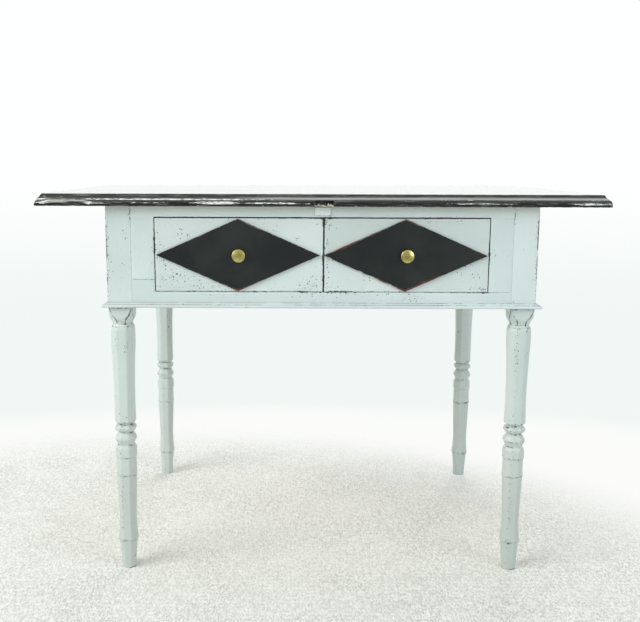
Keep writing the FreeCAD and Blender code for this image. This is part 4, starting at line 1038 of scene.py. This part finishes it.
KEPT = {
    WOOD["Y"]: ("runner_left", "runner_centre", "runner_right", "kicker_left", "kicker_centre", "kicker_right",
                "guide_left", "guide_right", "drawer_divider",
                "drawer_left_side_outer", "drawer_left_side_inner", "drawer_right_side_outer",
                "drawer_right_side_inner"),
    WOOD["X"]: ("drawer_left_back", "drawer_right_back", "drawer_left_bottom", "drawer_right_bottom",
                "drawer_stops", "glue_blocks"),
    PAINT["Y"]: ("tenon_pegs",),
    STEEL: ("top_screws", "catch_strap_screws", "drawer_left_nails", "drawer_right_nails",
            "drawer_left_washer", "drawer_right_washer", "drawer_left_nut", "drawer_right_nut"),
}
for kept_finish, names in KEPT.items():
    for kept_name in names:
        materials = frame["nodes"][kept_name].data.materials
        materials.clear()
        materials.append(kept_finish)


# ---------------------------------------------------------------- floor, light and camera

def stage_floor():
    """A pale, faintly mottled floor that melts into the background behind the table."""
    mesh = bmesh.new()
    bmesh.ops.create_circle(mesh, cap_ends=True, radius=9.0, segments=96)
    data = bpy.data.meshes.new("floor")
    mesh.to_mesh(data)
    mesh.free()
    floor = bpy.data.objects.new("floor", data)
    bpy.context.scene.collection.objects.link(floor)
    g = material_graph("pale_floor")
    here = g.table_place()
    moved = g.add("VectorMath", {0: here, 1: (0.36, 0.55, 0.0)}, operation="ADD").outputs[0]
    squeezed = g.drawn_out(moved, "X", 1.15)
    away = g.add("VectorMath", {0: squeezed}, operation="LENGTH").outputs["Value"]
    foreshortened = g.drawn_out(here, "Y", 2.4)
    mottle = g.total(g.times(g.noise(here, 14, 4, 0.7), 0.2), g.times(g.noise(foreshortened, 220, 3, 0.7), 0.8))
    colour = g.mix(g.fade(mottle, 0.38, 0.62), srgb(230, 231, 224), srgb(252, 253, 248))
    crack = g.calc("ABSOLUTE", g.calc("SUBTRACT", g.noise(foreshortened, 170, 2, 0.6), 0.5))
    trodden = g.fade(g.noise(here, 6, 3), 0.38, 0.62)
    cracked = g.times(g.fade(crack, 0.075, 0.015), g.total(0.62, g.times(trodden, 0.30)))
    colour = g.mix(g.times(cracked, 0.52), colour, srgb(164, 164, 156))
    lit = g.calc("ABSOLUTE", g.calc("SUBTRACT", g.noise(foreshortened, 120, 2, 0.6), 0.40))
    colour = g.mix(g.times(g.fade(lit, 0.06, 0.01), 0.5), colour, srgb(255, 255, 252))
    matt = g.add("BsdfDiffuse", {"Color": colour, "Normal": g.bump(mottle, 1 * MM)})
    clear = g.add("BsdfTransparent")
    blend = g.add("MixShader", {0: g.fade(away, 0.86, 1.25), 1: matt.outputs[0], 2: clear.outputs[0]})
    g.add("OutputMaterial", {"Surface": blend.outputs[0]})
    data.materials.append(g.owner)


def world_light():
    """Even light on the object; the camera and gloss see a white studio, dimmer on the camera's side."""
    world = bpy.data.worlds.new("studio")
    bpy.context.scene.world = world
    g = Graph(world)
    path = g.add("LightPath").outputs
    direction = g.add("TexCoord").outputs["Generated"]
    up, inward = g.axis(direction, "Z"), g.axis(direction, "Y")
    backdrop = g.mix(g.fade(up, -0.285, -0.262), srgb(251, 252, 250), srgb(241, 247, 245))
    backdrop = g.mix(g.fade(up, -0.16, -0.02), backdrop, srgb(254, 255, 255))
    gloss = g.calc("MINIMUM", g.total(path["Is Glossy Ray"], path["Is Transmission Ray"]), 1.0)
    lit_side = g.fade(g.total(inward, g.times(up, 0.8)), -0.95, 0.05)
    level = g.calc("MAXIMUM", path["Is Camera Ray"], g.total(0.42, g.times(lit_side, 0.58)))
    seen = g.add("Background", {"Color": backdrop, "Strength": level})
    ambient = g.add("Background", {"Color": (0.965, 1.0, 1.0, 1.0), "Strength": 0.56})
    factor = g.calc("MAXIMUM", path["Is Camera Ray"], gloss)
    blend = g.add("MixShader", {0: factor, 1: ambient.outputs[0], 2: seen.outputs[0]})
    g.add("OutputWorld", {"Surface": blend.outputs[0]})


def softbox(name, place, aim, size, power, colour):
    """A square area lamp at a place, turned towards a point."""
    data = bpy.data.lights.new(name, "AREA")
    data.shape = "SQUARE"
    data.size = size
    data.energy = power
    data.color = colour
    lamp = bpy.data.objects.new(name, data)
    bpy.context.scene.collection.objects.link(lamp)
    lamp.location = place
    lamp.rotation_euler = (Vector(aim) - Vector(place)).to_track_quat("-Z", "Y").to_euler()


def aimed_camera():
    """The camera: place, turn and lens of a view from the front, a little above the top."""
    place = Vector((-0.05445, -1.98800, 0.81908))
    yaw, pitch, roll = -0.00626, -0.16647, 0.00289
    focal_pixels, image_width, middle_x = 885.6, 640, 287.6
    sensor = 36.0
    ahead = Vector((math.sin(yaw) * math.cos(pitch), math.cos(yaw) * math.cos(pitch), math.sin(pitch)))
    level_right = Vector((math.cos(yaw), -math.sin(yaw), 0))
    level_up = level_right.cross(ahead)
    right = level_right * math.cos(roll) + level_up * math.sin(roll)
    up = level_up * math.cos(roll) - level_right * math.sin(roll)
    data = bpy.data.cameras.new("camera")
    data.sensor_width = sensor
    data.lens = focal_pixels * sensor / image_width
    data.shift_x = (image_width / 2 - middle_x) / image_width
    camera = bpy.data.objects.new("camera", data)
    bpy.context.scene.collection.objects.link(camera)
    camera.matrix_world = Matrix((
        (right.x, up.x, -ahead.x, place.x),
        (right.y, up.y, -ahead.y, place.y),
        (right.z, up.z, -ahead.z, place.z),
        (0, 0, 0, 1)))
    bpy.context.scene.camera = camera


aimed_camera()
stage_floor()
world_light()
TABLE_MIDDLE = (0.0, 0.0, 0.5)
softbox("key_lamp", (-3.0, -2.0, 2.4), TABLE_MIDDLE, 2.4, 101, (1.0, 1.0, 0.99))
softbox("fill_lamp", (2.2, -2.4, 1.5), TABLE_MIDDLE, 1.8, 28, (0.85, 0.96, 1.0))
softbox("back_lamp", (0.6, 2.6, 2.4), TABLE_MIDDLE, 1.8, 34, (1.0, 1.0, 1.0))
bpy.context.scene.view_settings.view_transform = "Standard"
